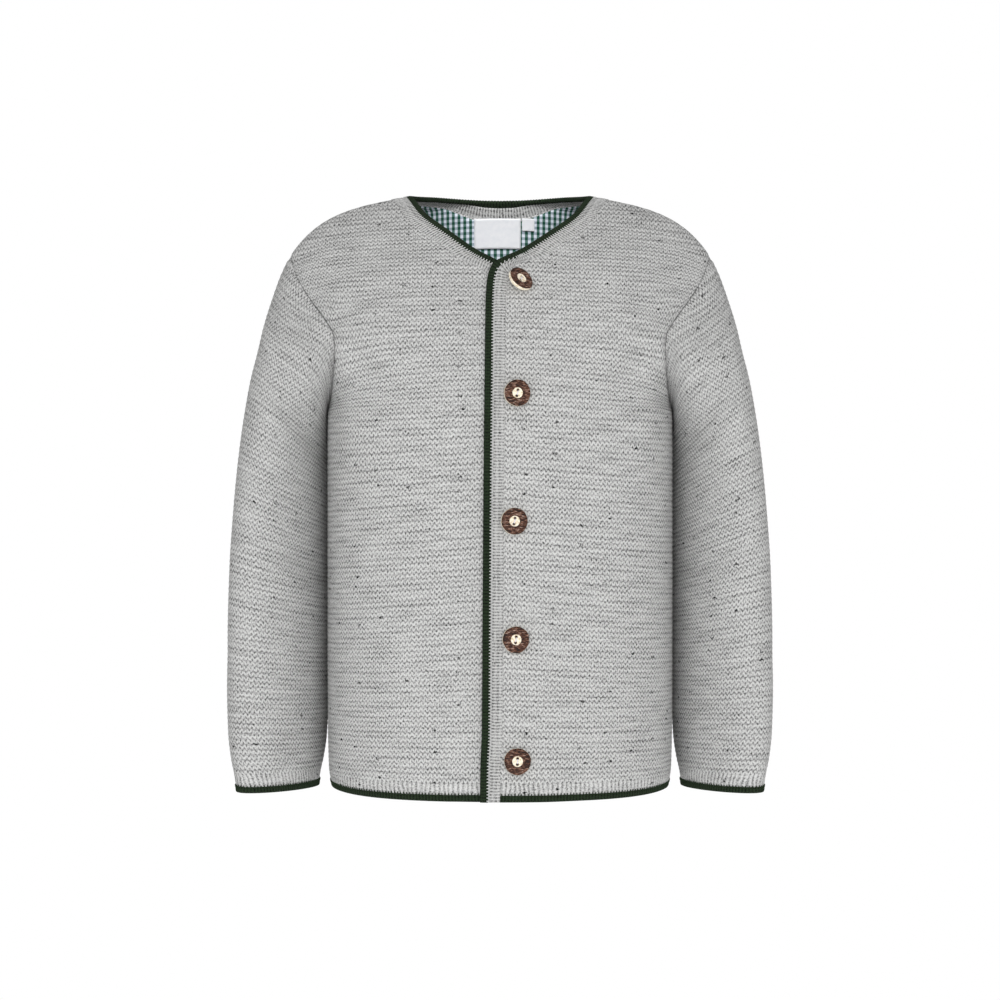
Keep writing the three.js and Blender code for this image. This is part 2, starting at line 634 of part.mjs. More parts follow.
// A bundle of sewing thread from the under front, through the slot, to the button's back
function threadGeometry({ cloth, normal, forward, seat }) {
  const root = cloth.clone().addScaledVector(normal, SEAM_GAP - 2 * LAP);
  const tip = seat.clone().addScaledVector(forward, -SEAM_GAP);
  const way = tip.clone().sub(root);
  const length = way.length() - THREAD_RADIUS * THREAD_SETBACK;
  const geometry = new THREE.CylinderGeometry(THREAD_RADIUS, THREAD_RADIUS, length, THREAD_SIDES);
  const turn = new THREE.Quaternion().setFromUnitVectors(new THREE.Vector3(0, 1, 0), way.normalize());
  geometry.applyQuaternion(turn);
  const middle = root.addScaledVector(way, length / 2);
  geometry.translate(middle.x, middle.y, middle.z);
  return geometry;
}

// A lens-shaped buttonhole, deep enough to cut through the over front only
function slotGeometry({ cloth, normal }) {
  const lens = new THREE.Shape();
  lens.moveTo(-SLOT_HALF_LENGTH, 0);
  lens.lineTo(0, -SLOT_HALF_WIDTH);
  lens.lineTo(SLOT_HALF_LENGTH, 0);
  lens.lineTo(0, SLOT_HALF_WIDTH);
  lens.closePath();
  const depth = 3 * WALL;
  const geometry = new THREE.ExtrudeGeometry(lens, { depth, bevelEnabled: false });
  geometry.translate(0, 0, -depth / 2);
  const turn = new THREE.Quaternion().setFromUnitVectors(new THREE.Vector3(0, 0, 1), normal);
  geometry.applyQuaternion(turn);
  const middle = cloth.clone().addScaledVector(normal, -WALL / 2);
  geometry.translate(middle.x, middle.y, middle.z);
  return geometry;
}

// Fronts, with their knitted bands and green edges
const frames = BUTTONS.map(buttonFrame);
const panelLevels = [...BODY_LEVELS, ...FRONT_YOKE.slice(0, -1), FRONT_TOP - SEAM_GAP / 2];
const stripLevels = [0, ...panelLevels];
const halfGap = SEAM_GAP / 2;
for (const { side, table, lap, mirrored } of [
  { side: "left", table: OVER_EDGE, lap: overLap, mirrored: false },
  { side: "right", table: UNDER_EDGE, lap: underLap, mirrored: true },
]) {
  const edge = column(table, "level", "x");
  const start = (level) => edge(level) + acrossEdge(front, edge, level) * (TRIM_WIDTH + halfGap);
  const turned = (wall) => (mirrored ? wall.mirror() : wall);
  let panel = turned(halfPanel(front, panelLevels, start, lap)).geometry();
  if (!mirrored) {
    let cut = solid(panel);
    for (const frame of frames) cut = cut.subtract(solid(slotGeometry(frame)));
    panel = geometryOf(cut);
  }
  addPiece(`front_${side}`, panel, GREY);
  const green = edgeStrip(stripLevels, edge, 0, EDGE_WIDTH - halfGap, EDGE_WALL, lap);
  addPiece(`front_edge_${side}`, turned(green).geometry(), GREEN);
  const band = edgeStrip(stripLevels, edge, EDGE_WIDTH + halfGap, TRIM_WIDTH - halfGap, WALL, lap);
  addPiece(`front_band_${side}`, turned(band).geometry(), BAND_GREY);
  const hem = halfHem(front, start, lap);
  addPiece(`hem_edge_${side}`, turned(hem).geometry(), GREEN);
}

// The green edge under a half panel, from its start to the side seam
function halfHem(torso, start, lap) {
  const wall = new Wall(EDGE_WALL);
  const rows = [0, HEM_EDGE].map((level) => torso.row(level, start(level), COLUMNS, halfGap).map((angle, i) => {
    const base = torso.point(level, angle);
    const normal = torso.normal(level, angle);
    return wall.add(base.addScaledVector(normal, lap(base.x)), i === COLUMNS ? sideWay() : normal);
  }));
  wall.net(rows);
  return wall;
}

// Join a half and its mirror image along the centre line, where the points have x = 0
function joinHalves(half) {
  const twin = half.mirror();
  const whole = new Wall(half.thickness);
  half.points.forEach((p, i) => whole.add(p, half.ways[i]));
  const centre = half.points.map((p) => Math.abs(p.x) < 1e-6);
  half.points.forEach((p, i) => {
    if (centre[i]) {
      p.x = 0;
      half.ways[i].x = 0;
      half.ways[i].normalize();
    }
  });
  const index = twin.points.map((p, i) => (centre[i] ? i : whole.add(p, twin.ways[i])));
  whole.faces = [...half.faces, ...twin.faces.map((face) => face.map((i) => index[i]))];
  return whole;
}

// Back: whole rows up to the neck band, then one run of rows over each shoulder
const neckStart = (level) => {
  if (level <= panelNeck[0].level) return 0;
  const place = panelNeck.findIndex((p) => p.level >= level - 1e-6);
  return panelNeck[place < 0 ? panelNeck.length - 1 : place].x;
};
const backLevels = [...BODY_LEVELS, ...BACK_YOKE, ...panelNeck.slice(0, -1).map((p) => p.level), BACK_TOP - halfGap];
const backHalf = halfPanel(back, backLevels, neckStart, noLap);
addPiece("back", joinHalves(backHalf).geometry(), GREY);
addPiece("hem_edge_back", joinHalves(halfHem(back, () => 0, noLap)).geometry(), GREEN);
addPiece("neck_edge", neckStrip(0, EDGE_WIDTH - halfGap, EDGE_WALL).geometry(), GREEN);
addPiece("neck_band", neckStrip(EDGE_WIDTH + halfGap, TRIM_WIDTH - halfGap, WALL).geometry(), BAND_GREY);

// A patch of thin cloth on the inside of the back, between two levels at each x
function insidePatch(columns, bottom, top, rowCount, thickness, depth) {
  const wall = new Wall(thickness);
  const rows = columns.map((x) => {
    const cells = [];
    for (let j = 0; j <= rowCount; j += 1) {
      const level = bottom(x) + ((top(x) - bottom(x)) * j) / rowCount;
      const angle = back.angle(level, x);
      const way = back.normal(level, angle);
      cells.push(wall.add(back.point(level, angle).addScaledVector(way, -depth), way));
    }
    return cells;
  });
  wall.net(rows);
  return wall;
}

const spread = (from, to, count) => Array.from({ length: count + 1 }, (_, i) => from + ((to - from) * i) / count);
const neckLevel = (x) => {
  const place = panelNeck.findIndex((p) => p.x >= Math.abs(x));
  if (place <= 0) return place === 0 ? panelNeck[0].level : FACING_TOP;
  const low = panelNeck[place - 1];
  const high = panelNeck[place];
  const level = low.level + ((high.level - low.level) * (Math.abs(x) - low.x)) / (high.x - low.x);
  return Math.min(level, FACING_TOP);
};
const facingBottom = (x) => {
  const lowest = neckLevel(0) - FACING_DEPTH;
  const share = Math.abs(x) / (FACING_HALF_WIDTH + FACING_TIP);
  return lowest + (FACING_TOP - lowest) * share ** FACING_CURVE;
};
const facingDepth = WALL / 2 + INSIDE_SLACK + FACING_WALL / 2;
const labelDepth = facingDepth + FACING_WALL / 2 + INSIDE_SLACK + LABEL_WALL / 2;
const facingColumns = spread(-FACING_HALF_WIDTH, FACING_HALF_WIDTH, 20);
const facing = insidePatch(facingColumns, facingBottom, (x) => neckLevel(x) - FACING_BELOW_BAND, 4, FACING_WALL, facingDepth);
addPiece("neck_facing", facing.geometry(), GINGHAM);
for (const [name, label, count] of [["main_label", MAIN_LABEL, 5], ["size_label", SIZE_LABEL, 2]]) {
  const across = spread(label.left, label.right, count);
  const patch = insidePatch(across, () => label.bottom, () => label.top, 3, LABEL_WALL, labelDepth);
  addPiece(name, patch.geometry(), WHITE);
}

// Sleeves, with a green edge at each cuff
function sleeveWall(runs, thickness, gapAtTop) {
  const wall = new Wall(thickness);
  const rows = runs.map((run) => armhole.map((corner, index) => {
    const atSeam = gapAtTop && run === runs[0];
    const way = atSeam ? corner.way : sleeveWay(run, index);
    const place = atSeam ? sleevePoint(run + SEAM_GAP, corner) : sleevePoint(run, corner);
    return wall.add(place.addScaledVector(way, atSeam ? 0 : sleeveFold(run, corner.turn)), way);
  }));
  wall.net(rows, true);
  return wall;
}
const cuffStart = SLEEVE_END - CUFF_EDGE;
const sleeve = sleeveWall([...SLEEVE_RUNS, cuffStart - SEAM_GAP], WALL, true);
const cuff = sleeveWall([cuffStart, SLEEVE_END], EDGE_WALL, false);
addPiece("sleeve_left", sleeve.geometry(), SLEEVE_GREY);
addPiece("sleeve_right", sleeve.mirror().geometry(), SLEEVE_GREY);
addPiece("cuff_edge_left", cuff.geometry(), GREEN);
addPiece("cuff_edge_right", cuff.mirror().geometry(), GREEN);

frames.forEach((frame, i) => {
  addPiece(`button_${i + 1}`, geometryOf(solid(buttonGeometry(frame))), HORN);
  addPiece(`button_thread_${i + 1}`, geometryOf(solid(threadGeometry(frame))), WHITE);
});

export default group;
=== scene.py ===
"""A child's knitted cardigan, filled out as worn: its knitted cloth, trims and buttons.

Lengths are millimetres in the code and metres in the meshes. +Z is up and the front faces -Y.
Every piece lies on the same surfaces as its solid in the frame.
"""

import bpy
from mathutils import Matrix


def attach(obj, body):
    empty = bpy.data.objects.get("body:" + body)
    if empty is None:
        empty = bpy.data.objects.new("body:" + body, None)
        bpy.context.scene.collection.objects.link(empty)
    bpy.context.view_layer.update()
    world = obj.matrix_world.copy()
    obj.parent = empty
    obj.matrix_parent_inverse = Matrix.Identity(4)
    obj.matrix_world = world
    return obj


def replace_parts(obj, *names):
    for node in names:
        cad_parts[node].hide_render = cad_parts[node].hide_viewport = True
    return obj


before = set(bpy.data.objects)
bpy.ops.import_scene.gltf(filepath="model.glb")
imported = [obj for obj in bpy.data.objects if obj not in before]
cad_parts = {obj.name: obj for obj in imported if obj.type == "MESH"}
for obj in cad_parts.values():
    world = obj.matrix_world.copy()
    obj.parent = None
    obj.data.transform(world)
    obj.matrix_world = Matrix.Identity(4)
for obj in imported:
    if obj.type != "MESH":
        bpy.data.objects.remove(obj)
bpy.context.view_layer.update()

import logging
import math
from dataclasses import dataclass
from enum import Enum
from typing import Callable

import bpy
import numpy as np
from mathutils import Vector

log = logging.getLogger("cardigan")
Array = np.ndarray
MM = 0.001
# Turns points and directions of one side into those of the other
MIRROR = np.array([-1.0, 1.0, 1.0])

# Cloth and trims
WALL = 2.6
EDGE_WALL = 3.0
FACING_WALL = 0.9
LABEL_WALL = 0.6
INSIDE_SLACK = 0.7
SEAM_GAP = 0.3
EDGE_WIDTH = 4.9
BAND_WIDTH = 8.5
TRIM_WIDTH = EDGE_WIDTH + BAND_WIDTH
# The knit beside a band begins this far from the free edge
TRIM_END = TRIM_WIDTH + SEAM_GAP / 2
# The green yarn swells past its solid's width by this on each side, and past its wall by this in all
GREEN_SPREAD = 0.5
GREEN_SWELL = 0.3
# The band's rounded edge reaches under the knit beside it by this
BAND_SPREAD = 0.7
HEM_EDGE = 4.6
CUFF_EDGE = 4.2

# Levels along the cloth, counted up from the hem
UNDERARM = 275.0
NECK_START = 340.0
FRONT_TOP = 457.0
BACK_TOP = 488.0
NECK_HALF_WIDTH = 64.0
NECK_TURN_START = 44.0
SHARPEST_SINE = 0.45
# Half a step along a free edge and a step off it, for its slopes
EDGE_STEP = 1.5
OUT_STEP = 2.0
# Ribs of the front trims are square to the edge between these levels, but level at hem and shoulder
SQUARE_FROM = 20.0
SQUARE_TO = FRONT_TOP - 25
SQUARE_FADE = 22.0
ROUND = 2.4

# Sleeves, measured along the arm from the armhole
SLEEVE_END = 339.5
CAP_REACH = 70.0
INNER_BACK = 23.0
INNER_BACK_REACH = 45.0

# The lap of the two fronts
LAP = 1.75
OVER_LAP = (27.0, 56.0)
UNDER_LAP = (17.0, 40.0)

# The knit: a garter ridge, a stitch, a rib of the trims
RIDGE = 3.7
STITCH = 3.3
TRIM_RIB = 2.2
GREEN_RIB = 2.3
RIDGE_HEIGHT = 0.26
HEM_RIB_HEIGHT = 0.36
# The rows droop outwards by this slope, fading out towards the hem and above DROOP_TOP
ROW_DROOP = 0.075
DROOP_REACH = 150.0
DROOP_TOP = 200.0
DROOP_FADE = 180.0
# Above the underarm the rows lose this share of the surface's own droop, over this height
YOKE_STRAIGHT = 0.8
YOKE_REACH = 90.0
# The inner sheet of a shell keeps one row and column of so many
SKIP = 6
# A shell lies this far inside its wall's face, and the knit rises from there
KNIT_SUNK = 0.25
TRIM_SUNK = 0.12
# How far the cloth sinks at a seam, and how wide the valley is
SIDE_SEAM = (1.0, 2.6)
# A side seam below the underarm has this share of the depth above it
LOW_SEAM = 0.6
SHOULDER_SEAM = (0.6, 1.6)
HEM_SEAM = (0.15, 1.2)
TRIM_SEAM = (0.12, 1.0)
ARMHOLE_SEAM = (1.1, 2.8)
CUFF_SEAM = (0.3, 1.2)
# Folds fade and directions turn within these distances of a side seam, or of the shoulder seam
FOLD_FADE = 30.0
SEAM_TURN = 12.0
SHOULDER_TURN = 6.0
# Short stitches over a colour's edge: corners round one, how far past a hem's or cuff's edge its
# middle lies, places along it and its half thickness there
TOOTH_SIDES = 5
TOOTH_IN = 0.5
TOOTH_REACH = (-1.0, -0.8, -0.3, 0.4, 1.1, 1.3)
TOOTH_SIZE = (0.1, 0.34, 0.42, 0.42, 0.34, 0.1)
HEM_BAND = 13.1
# The hem's direction turns sideways from this share of its row
HEM_TURN = 0.93
# Trims take their yarn's chance marks from this far up the cloth
TRIM_PLACE = 100.0
# Mirrored pieces take theirs from another place, whole stitches away
ELSEWHERE = (-150 * STITCH, 0.0)

# level, yMid, zMid, xSide, ySide, zSide, turn
FRONT = (
    (0, -88, -432.5, 121, 0, -428.5, 1), (18, -88.5, -415, 123.6, 0, -414, 1),
    (60, -89, -373, 124.4, 0, -373, 1), (133, -89.5, -300, 124.6, 0, -300, 1),
    (233, -88, -200, 124.6, 0, -200, 1), (275, -85.5, -158, 124.4, 0, -158, 1),
    (305, -82, -129, 121.5, -27, -145, 0.99), (330, -77.5, -105, 119, -44, -128, 0.97),
    (350, -71.5, -86, 118, -49, -113, 0.95), (368, -64.5, -70, 119, -47.5, -103, 0.93),
    (388, -56, -52.5, 126, -41, -91, 0.9), (410, -43, -36, 137, -29, -76, 0.88),
    (430, -28.5, -20.5, 147, -18.5, -59.5, 0.86), (447, -11, -5, 151.8, -6, -46.2, 0.85),
    (457, 3, 4, 153, 3, -43, 0.85),
)
BACK = (
    (0, 82, -433, 121, 0, -428.5, 1), (18, 82, -415, 123.6, 0, -414, 1),
    (60, 80.5, -373, 124.4, 0, -373, 1), (133, 79, -300, 124.6, 0, -300, 1),
    (233, 81, -200, 124.6, 0, -200, 1), (275, 84, -158, 124.4, 0, -158, 1),
    (305, 85.5, -128, 122, 29, -146, 0.99), (335, 84, -98, 120.5, 51, -125, 0.97),
    (360, 79.5, -73.5, 121.5, 58, -105, 0.95), (385, 72.5, -49.5, 126, 55, -88, 0.93),
    (410, 63, -27, 135, 44, -72, 0.9), (432, 52, -8.5, 143, 31, -59, 0.88),
    (446, 44, 1, 147.6, 22.5, -50.5, 0.87), (468, 24, 3.8, 151.9, 12, -45, 0.85),
    (488, 3, 4, 153, 3, -43, 0.85),
)
# level, x of a front's free edge
OVER_EDGE = (
    (0, -13.5), (25, -13.2), (50, -12.2), (130, -11.7), (230, -11), (300, -10.3), (350, -9.8),
    (366, -9.2), (376, -8.2), (383, -6.2), (388, -2.6), (392, 3.4), (398.6, 13.5), (410, 25.8),
    (428, 42.9), (441, 54.6), (457, 64),
)
UNDER_EDGE = (
    (0, -25), (340, -25), (357, -23.4), (369, -18.5), (378.5, -11), (385.5, -4.5), (391, 1.6),
    (400, 13.5), (411.5, 25.8), (428.8, 42.9), (441, 54.6), (457, 64),
)
# x, level of the back neckline
BACK_NECKLINE = (
    (0, 446), (10, 446.8), (22, 450), (37, 457.5), (50, 468), (58.5, 478.5), (64, 488),
)
# run, xIn, zIn, xOut, zOut, yFront, yBack
SLEEVE = (
    (0, 124.4, -158, 153, -43, -50, 58), (10, 128.2, -162, 160.2, -60, -52, 58.5),
    (26, 127.9, -171, 166, -80, -51, 57), (48, 126.8, -185, 172, -104, -48.5, 54),
    (80, 126.3, -206, 179.8, -138, -46, 49), (115, 126.5, -233, 186.4, -180, -45, 44),
    (155, 126.8, -266, 190.9, -224, -44.5, 40), (195, 126.9, -299, 193.9, -270, -44, 37),
    (235, 127, -334, 195.2, -316, -43, 35), (270, 127.4, -365, 195.6, -355, -41.5, 33),
    (300, 128.6, -393, 194.8, -388, -39.5, 31), (318, 131, -410, 192.6, -408, -37, 29),
    (330, 133.6, -421.5, 189.8, -421.5, -34.5, 26.5), (339.5, 134.8, -431, 188.6, -431, -33.5, 25.5),
)
# x, z, lift over the cloth, the way the face points
BUTTONS = (
    (13.6, -69.6, 5.3, (0.54, -0.64, 0.55)), (11.6, -147, 2.6, (0.2, -0.98, 0.04)),
    (9.6, -236, 2.4, (0.19, -0.98, 0.03)), (10.7, -318.5, 2.0, (0.14, -0.99, 0.02)),
    (12, -403.5, 1.2, (0.05, -1.0, 0.04)),
)


def smooth(t: Array) -> Array:
    """A step from 0 to 1 that starts and ends level: t squared times 3 - 2t."""
    t = np.clip(t, 0, 1)
    return t * t * (3 - 2 * t)


def norm(v: Array) -> Array:
    """Lengths of vectors, kept as a last axis of one."""
    return np.linalg.norm(v, axis=-1, keepdims=True)


def unit(v: Array) -> Array:
    """Vectors scaled to length one."""
    return v / np.maximum(norm(v), 1e-12)


def bell(t: Array) -> Array:
    """A bell, e to the power of minus t squared."""
    return np.exp(-t * t)


def lengths_along(points: Array, axis: int) -> Array:
    """Distances from the start of each line of points, along one axis of their grid.

    Args:
        points: A grid of points.
        axis: The axis that the lines follow.

    Returns:
        The distances, from 0.
    """
    run = np.cumsum(norm(np.diff(points, axis=axis))[..., 0], axis=axis)
    return np.concatenate([np.zeros_like(np.take(run, [0], axis=axis)), run], axis=axis)


class Curve:
    """A smooth curve without overshoot through a table's points: monotone cubics.

    Each tangent is the harmonic mean of the slopes beside it, and zero at a peak.
    """

    def __init__(self, xs: Array, ys: Array) -> None:
        """Works out the tangents.

        Args:
            xs: Rising places.
            ys: The values there.
        """
        self.xs, self.ys = np.asarray(xs, float), np.asarray(ys, float)
        self.steps = np.diff(self.xs)
        slopes = np.diff(self.ys) / self.steps
        before, after = slopes[:-1], slopes[1:]
        wide, near = 2 * self.steps[1:] + self.steps[:-1], self.steps[1:] + 2 * self.steps[:-1]
        level = before * after <= 0
        with np.errstate(divide="ignore", invalid="ignore"):
            inner = np.where(level, 0, (wide + near) / (wide / before + near / after))
        self.tangents = np.concatenate([slopes[:1], inner, slopes[-1:]])

    def __call__(self, x: Array) -> Array:
        """The curve's values at x, held level beyond its ends.

        Args:
            x: Places, in any order.

        Returns:
            The values there.
        """
        x = np.clip(x, self.xs[0], self.xs[-1])
        i = np.clip(np.searchsorted(self.xs, x, side="left") - 1, 0, len(self.steps) - 1)
        t = (x - self.xs[i]) / self.steps[i]
        values = self.ys[i] * (1 + 2 * t) * (1 - t) ** 2 + self.ys[i + 1] * t * t * (3 - 2 * t)
        ends = self.tangents[i] * t * (1 - t) ** 2 + self.tangents[i + 1] * t * t * (t - 1)
        return values + self.steps[i] * ends


@dataclass(frozen=True)
class Fold:
    """A soft trough or ridge: a bell across its width and along its length, in millimetres."""

    place: float
    x: float
    length: float
    width: float
    angle: float
    height: float


FRONT_FOLDS = (
    Fold(322, 99, 34, 9, 62, -3.2), Fold(344, 86, 30, 12, 58, 1.8), Fold(262, 104, 46, 11, 80, 1.6),
)
BACK_FOLDS = (Fold(330, 101, 38, 10, 66, -2.6), Fold(352, 84, 34, 13, 60, 1.5))
# On a sleeve the place is the run, x the turn in degrees and length the half spread of the turn
SLEEVE_FOLDS = (
    Fold(60, 100, 60, 12, 0, -2), Fold(168, 60, 55, 11, 0, -1.8), Fold(190, 75, 50, 12, 0, 1.4),
    Fold(150, 300, 60, 12, 0, -1.8), Fold(250, 110, 50, 11, 0, -1.3),
)


class Torso:
    """Half of the body's surface: point(level, angle), angle 0 on the centre line.

    x follows a superellipse, y rises from the middle to the side along its arc, and z falls
    along the slope of a shoulder, half a square and half an eighth power of x.
    """

    def __init__(self, table: tuple, outward: float, folds: tuple[Fold, ...]) -> None:
        """Makes the curves of the table's columns.

        Args:
            table: Rows of level, yMid, zMid, xSide, ySide, zSide and turn.
            outward: 1 for the front, -1 for the back.
            folds: Its soft folds.
        """
        columns = np.array(table, float).T
        curves = [Curve(columns[0], column) for column in columns[1:]]
        self.y_mid, self.z_mid, self.x_side, self.y_side, self.z_side, self.turn = curves
        self.outward = outward
        self.folds = folds
        self.top = columns[0][-1]

    def angle(self, level: Array, x: Array) -> Array:
        """The angle whose point on a level's row has a given x."""
        part = np.minimum(np.abs(x) / self.x_side(level), 1)
        return np.sign(x) * np.arcsin(part ** (ROUND / 2))

    def point(self, level: Array, angle: Array) -> Array:
        """Points at levels and angles, as arrays that broadcast.

        Args:
            level: Levels along the cloth.
            angle: 0 on the centre line, a quarter turn at the side.

        Returns:
            The points.
        """
        level, angle = np.broadcast_arrays(np.asarray(level, float), np.asarray(angle, float))
        part = np.abs(np.sin(angle)) ** (2 / ROUND)
        cut = self.turn(level)
        rise = 1 - np.maximum(1 - (cut * part) ** ROUND, 0) ** (1 / ROUND)
        full = 1 - np.maximum(1 - cut ** ROUND, 0) ** (1 / ROUND)
        x = np.sign(angle) * part * self.x_side(level)
        y = self.y_mid(level) + (self.y_side(level) - self.y_mid(level)) * rise / full
        return np.stack([x, y, self.z_mid(level) - self.droop(level, part)], axis=-1)

    def droop(self, level: Array, part: Array) -> Array:
        """How far a level's row has fallen at a share of its half width."""
        return (self.z_mid(level) - self.z_side(level)) * (0.5 * part ** 2 + 0.5 * part ** 8)

    def normal(self, level: Array, angle: Array) -> Array:
        """Outward normals, from the steps along the row and up the cloth.

        Args:
            level: Levels along the cloth.
            angle: Angles round the row.

        Returns:
            Vectors of length one.
        """
        turn_step, level_step = 0.02, 0.5
        high = np.minimum(angle + turn_step, math.pi / 2)
        along = self.point(level, high) - self.point(level, high - 2 * turn_step)
        up = self.point(level + level_step, angle) - self.point(level - level_step, angle)
        return unit(np.cross(along, up) * self.outward)

    def fold(self, level: Array, x: Array) -> Array:
        """Height of the soft folds: the sum of their bells.

        Args:
            level: Levels along the cloth.
            x: Places across it.

        Returns:
            The heights in millimetres.
        """
        height = np.zeros(np.broadcast(level, x).shape)
        for fold in self.folds:
            lean = math.radians(fold.angle)
            dx, dv = np.abs(x) - fold.x, level - fold.place
            along = dx * math.cos(lean) + dv * math.sin(lean)
            across = dv * math.cos(lean) - dx * math.sin(lean)
            height += fold.height * bell(along / fold.length) * bell(across / fold.width)
        return height

    def rows(self, levels: Array, starts: Array, shares: Array, trim: float) -> tuple[Array, Array]:
        """Rows of evenly spaced angles, and their distance along the cloth from x = 0.

        Args:
            levels: One level for each row.
            starts: x of each row's first point.
            shares: Shares of the row's length, from 0 to 1.
            trim: Millimetres left off at the side.

        Returns:
            The angles and the distances, rows by columns.
        """
        # A dense row from a little past the centre line to the side, closer at the centre
        spread = np.linspace(-0.3, 1, 521)
        turns = math.pi / 2 * np.sign(spread) * np.abs(spread) ** 1.2
        lengths = lengths_along(self.point(levels[:, None], turns[None, :]), 1)
        first = self.angle(levels, starts)
        begin = np.array([np.interp(a, turns, row) for a, row in zip(first, lengths)])
        zero = np.array([np.interp(0, turns, row) for row in lengths])
        wanted = begin[:, None] + (lengths[:, -1] - trim - begin)[:, None] * shares[None, :]
        angles = np.array([np.interp(w, row, turns) for w, row in zip(wanted, lengths)])
        return angles, wanted - zero[:, None]

    def knit_level(self, level: Array, part: Array) -> Array:
        """The knitted row's height up the cloth: above the underarm the real rows droop less.

        Args:
            level: Levels of the surface.
            part: Share of the half width, 0 at the centre line.

        Returns:
            Heights in millimetres of knit.
        """
        rise = (self.z_mid(level + 1) - self.z_mid(level - 1)) / 2
        straight = YOKE_STRAIGHT * smooth((level - UNDERARM) / YOKE_REACH)
        fade = smooth(level / DROOP_REACH) * (1 - smooth((level - DROOP_TOP) / DROOP_FADE))
        sag = ROW_DROOP * part * self.x_side(level) * fade
        return level + sag - straight * self.droop(level, part) / np.maximum(rise, 0.7)


front = Torso(FRONT, 1, FRONT_FOLDS)
back = Torso(BACK, -1, BACK_FOLDS)
over_edge = Curve(*np.array(OVER_EDGE, float).T)
under_edge = Curve(*np.array(UNDER_EDGE, float).T)
back_neckline = Curve(*np.array(BACK_NECKLINE, float).T)


def over_lap(x: Array) -> Array:
    """How far the over front lies outside the middle surface."""
    return LAP * (1 - smooth((x - OVER_LAP[0]) / (OVER_LAP[1] - OVER_LAP[0])))


def under_lap(x: Array) -> Array:
    """How far the under front lies inside the middle surface, as a negative height."""
    return -LAP * (1 - smooth((x - UNDER_LAP[0]) / (UNDER_LAP[1] - UNDER_LAP[0])))


def no_lap(x: Array) -> Array:
    """The back lies on its own surface."""
    return np.zeros_like(x)


def across_edge(edge: Curve, level: Array) -> tuple[Array, Array]:
    """How far x moves for each millimetre of trim across a front's free edge, and the level.

    The level moves so that the trim's ribs stand square to the edge, but not at hem and shoulder.

    Args:
        edge: x of the free edge at a level.
        level: Levels along the cloth.

    Returns:
        The moves of x and of the level.
    """
    def place(at: Array) -> Array:
        """The edge's point at a level."""
        return front.point(at, front.angle(at, edge(at)))

    low, high = level - EDGE_STEP, np.minimum(level + EDGE_STEP, FRONT_TOP)
    step = place(high) - place(low)
    x = edge(level)
    out = front.point(level, front.angle(level, x + OUT_STEP)) - front.point(level, front.angle(level, x))
    sine = np.maximum(norm(np.cross(unit(step), unit(out)))[..., 0], SHARPEST_SINE)
    share = smooth(level / SQUARE_FROM) * (1 - smooth((level - SQUARE_TO) / SQUARE_FADE))
    lean = np.sum(unit(step) * unit(out), axis=-1) * (high - low) / norm(step)[..., 0]
    return OUT_STEP / (norm(out)[..., 0] * sine), -share * lean / sine


def neck_trim(x: Array, distance: Array) -> tuple[Array, Array]:
    """Level and x at a distance inwards from the back neckline, square to it.

    Args:
        x: Places on the neckline, 0 or more.
        distance: Millimetres of trim from the edge.

    Returns:
        The levels and the x values there.
    """
    def place(at: Array) -> Array:
        """The neckline's point at x."""
        return back.point(back_neckline(at), back.angle(back_neckline(at), at))

    level = back_neckline(x)
    angle = back.angle(level, x)
    along = unit(place(np.minimum(x + 0.5, NECK_HALF_WIDTH)) - place(x - 0.5))
    per_level = back.point(level, angle) - back.point(level - 1, back.angle(level - 1, x))
    per_x = back.point(level, back.angle(level, x + 1)) - back.point(level, angle)
    away = unit(np.cross(back.normal(level, angle), along))
    away = np.where(np.sum(away * per_level, axis=-1, keepdims=True) > 0, -away, away)
    a, b, c = (np.sum(p * q, axis=-1) for p, q in
               ((per_level, per_level), (per_level, per_x), (per_x, per_x)))
    p, q = np.sum(away * per_level, axis=-1), np.sum(away * per_x, axis=-1)
    det = a * c - b * b
    sine = norm(np.cross(along, unit(per_x)))[..., 0]
    share = smooth((x - NECK_TURN_START) / (NECK_HALF_WIDTH - NECK_TURN_START))
    move_level = (p * c - q * b) / det * (1 - share)
    move_x = (q * a - p * b) / det * (1 - share) + share / (norm(per_x)[..., 0] * sine)
    return level + move_level * distance, x + move_x * distance


def band_line() -> tuple[Array, Array]:
    """The levels and the x values along the inner edge of the neck band, from x = 0 outwards."""
    ticks = np.linspace(0, NECK_HALF_WIDTH, 120)
    return neck_trim(ticks, np.full_like(ticks, TRIM_END))


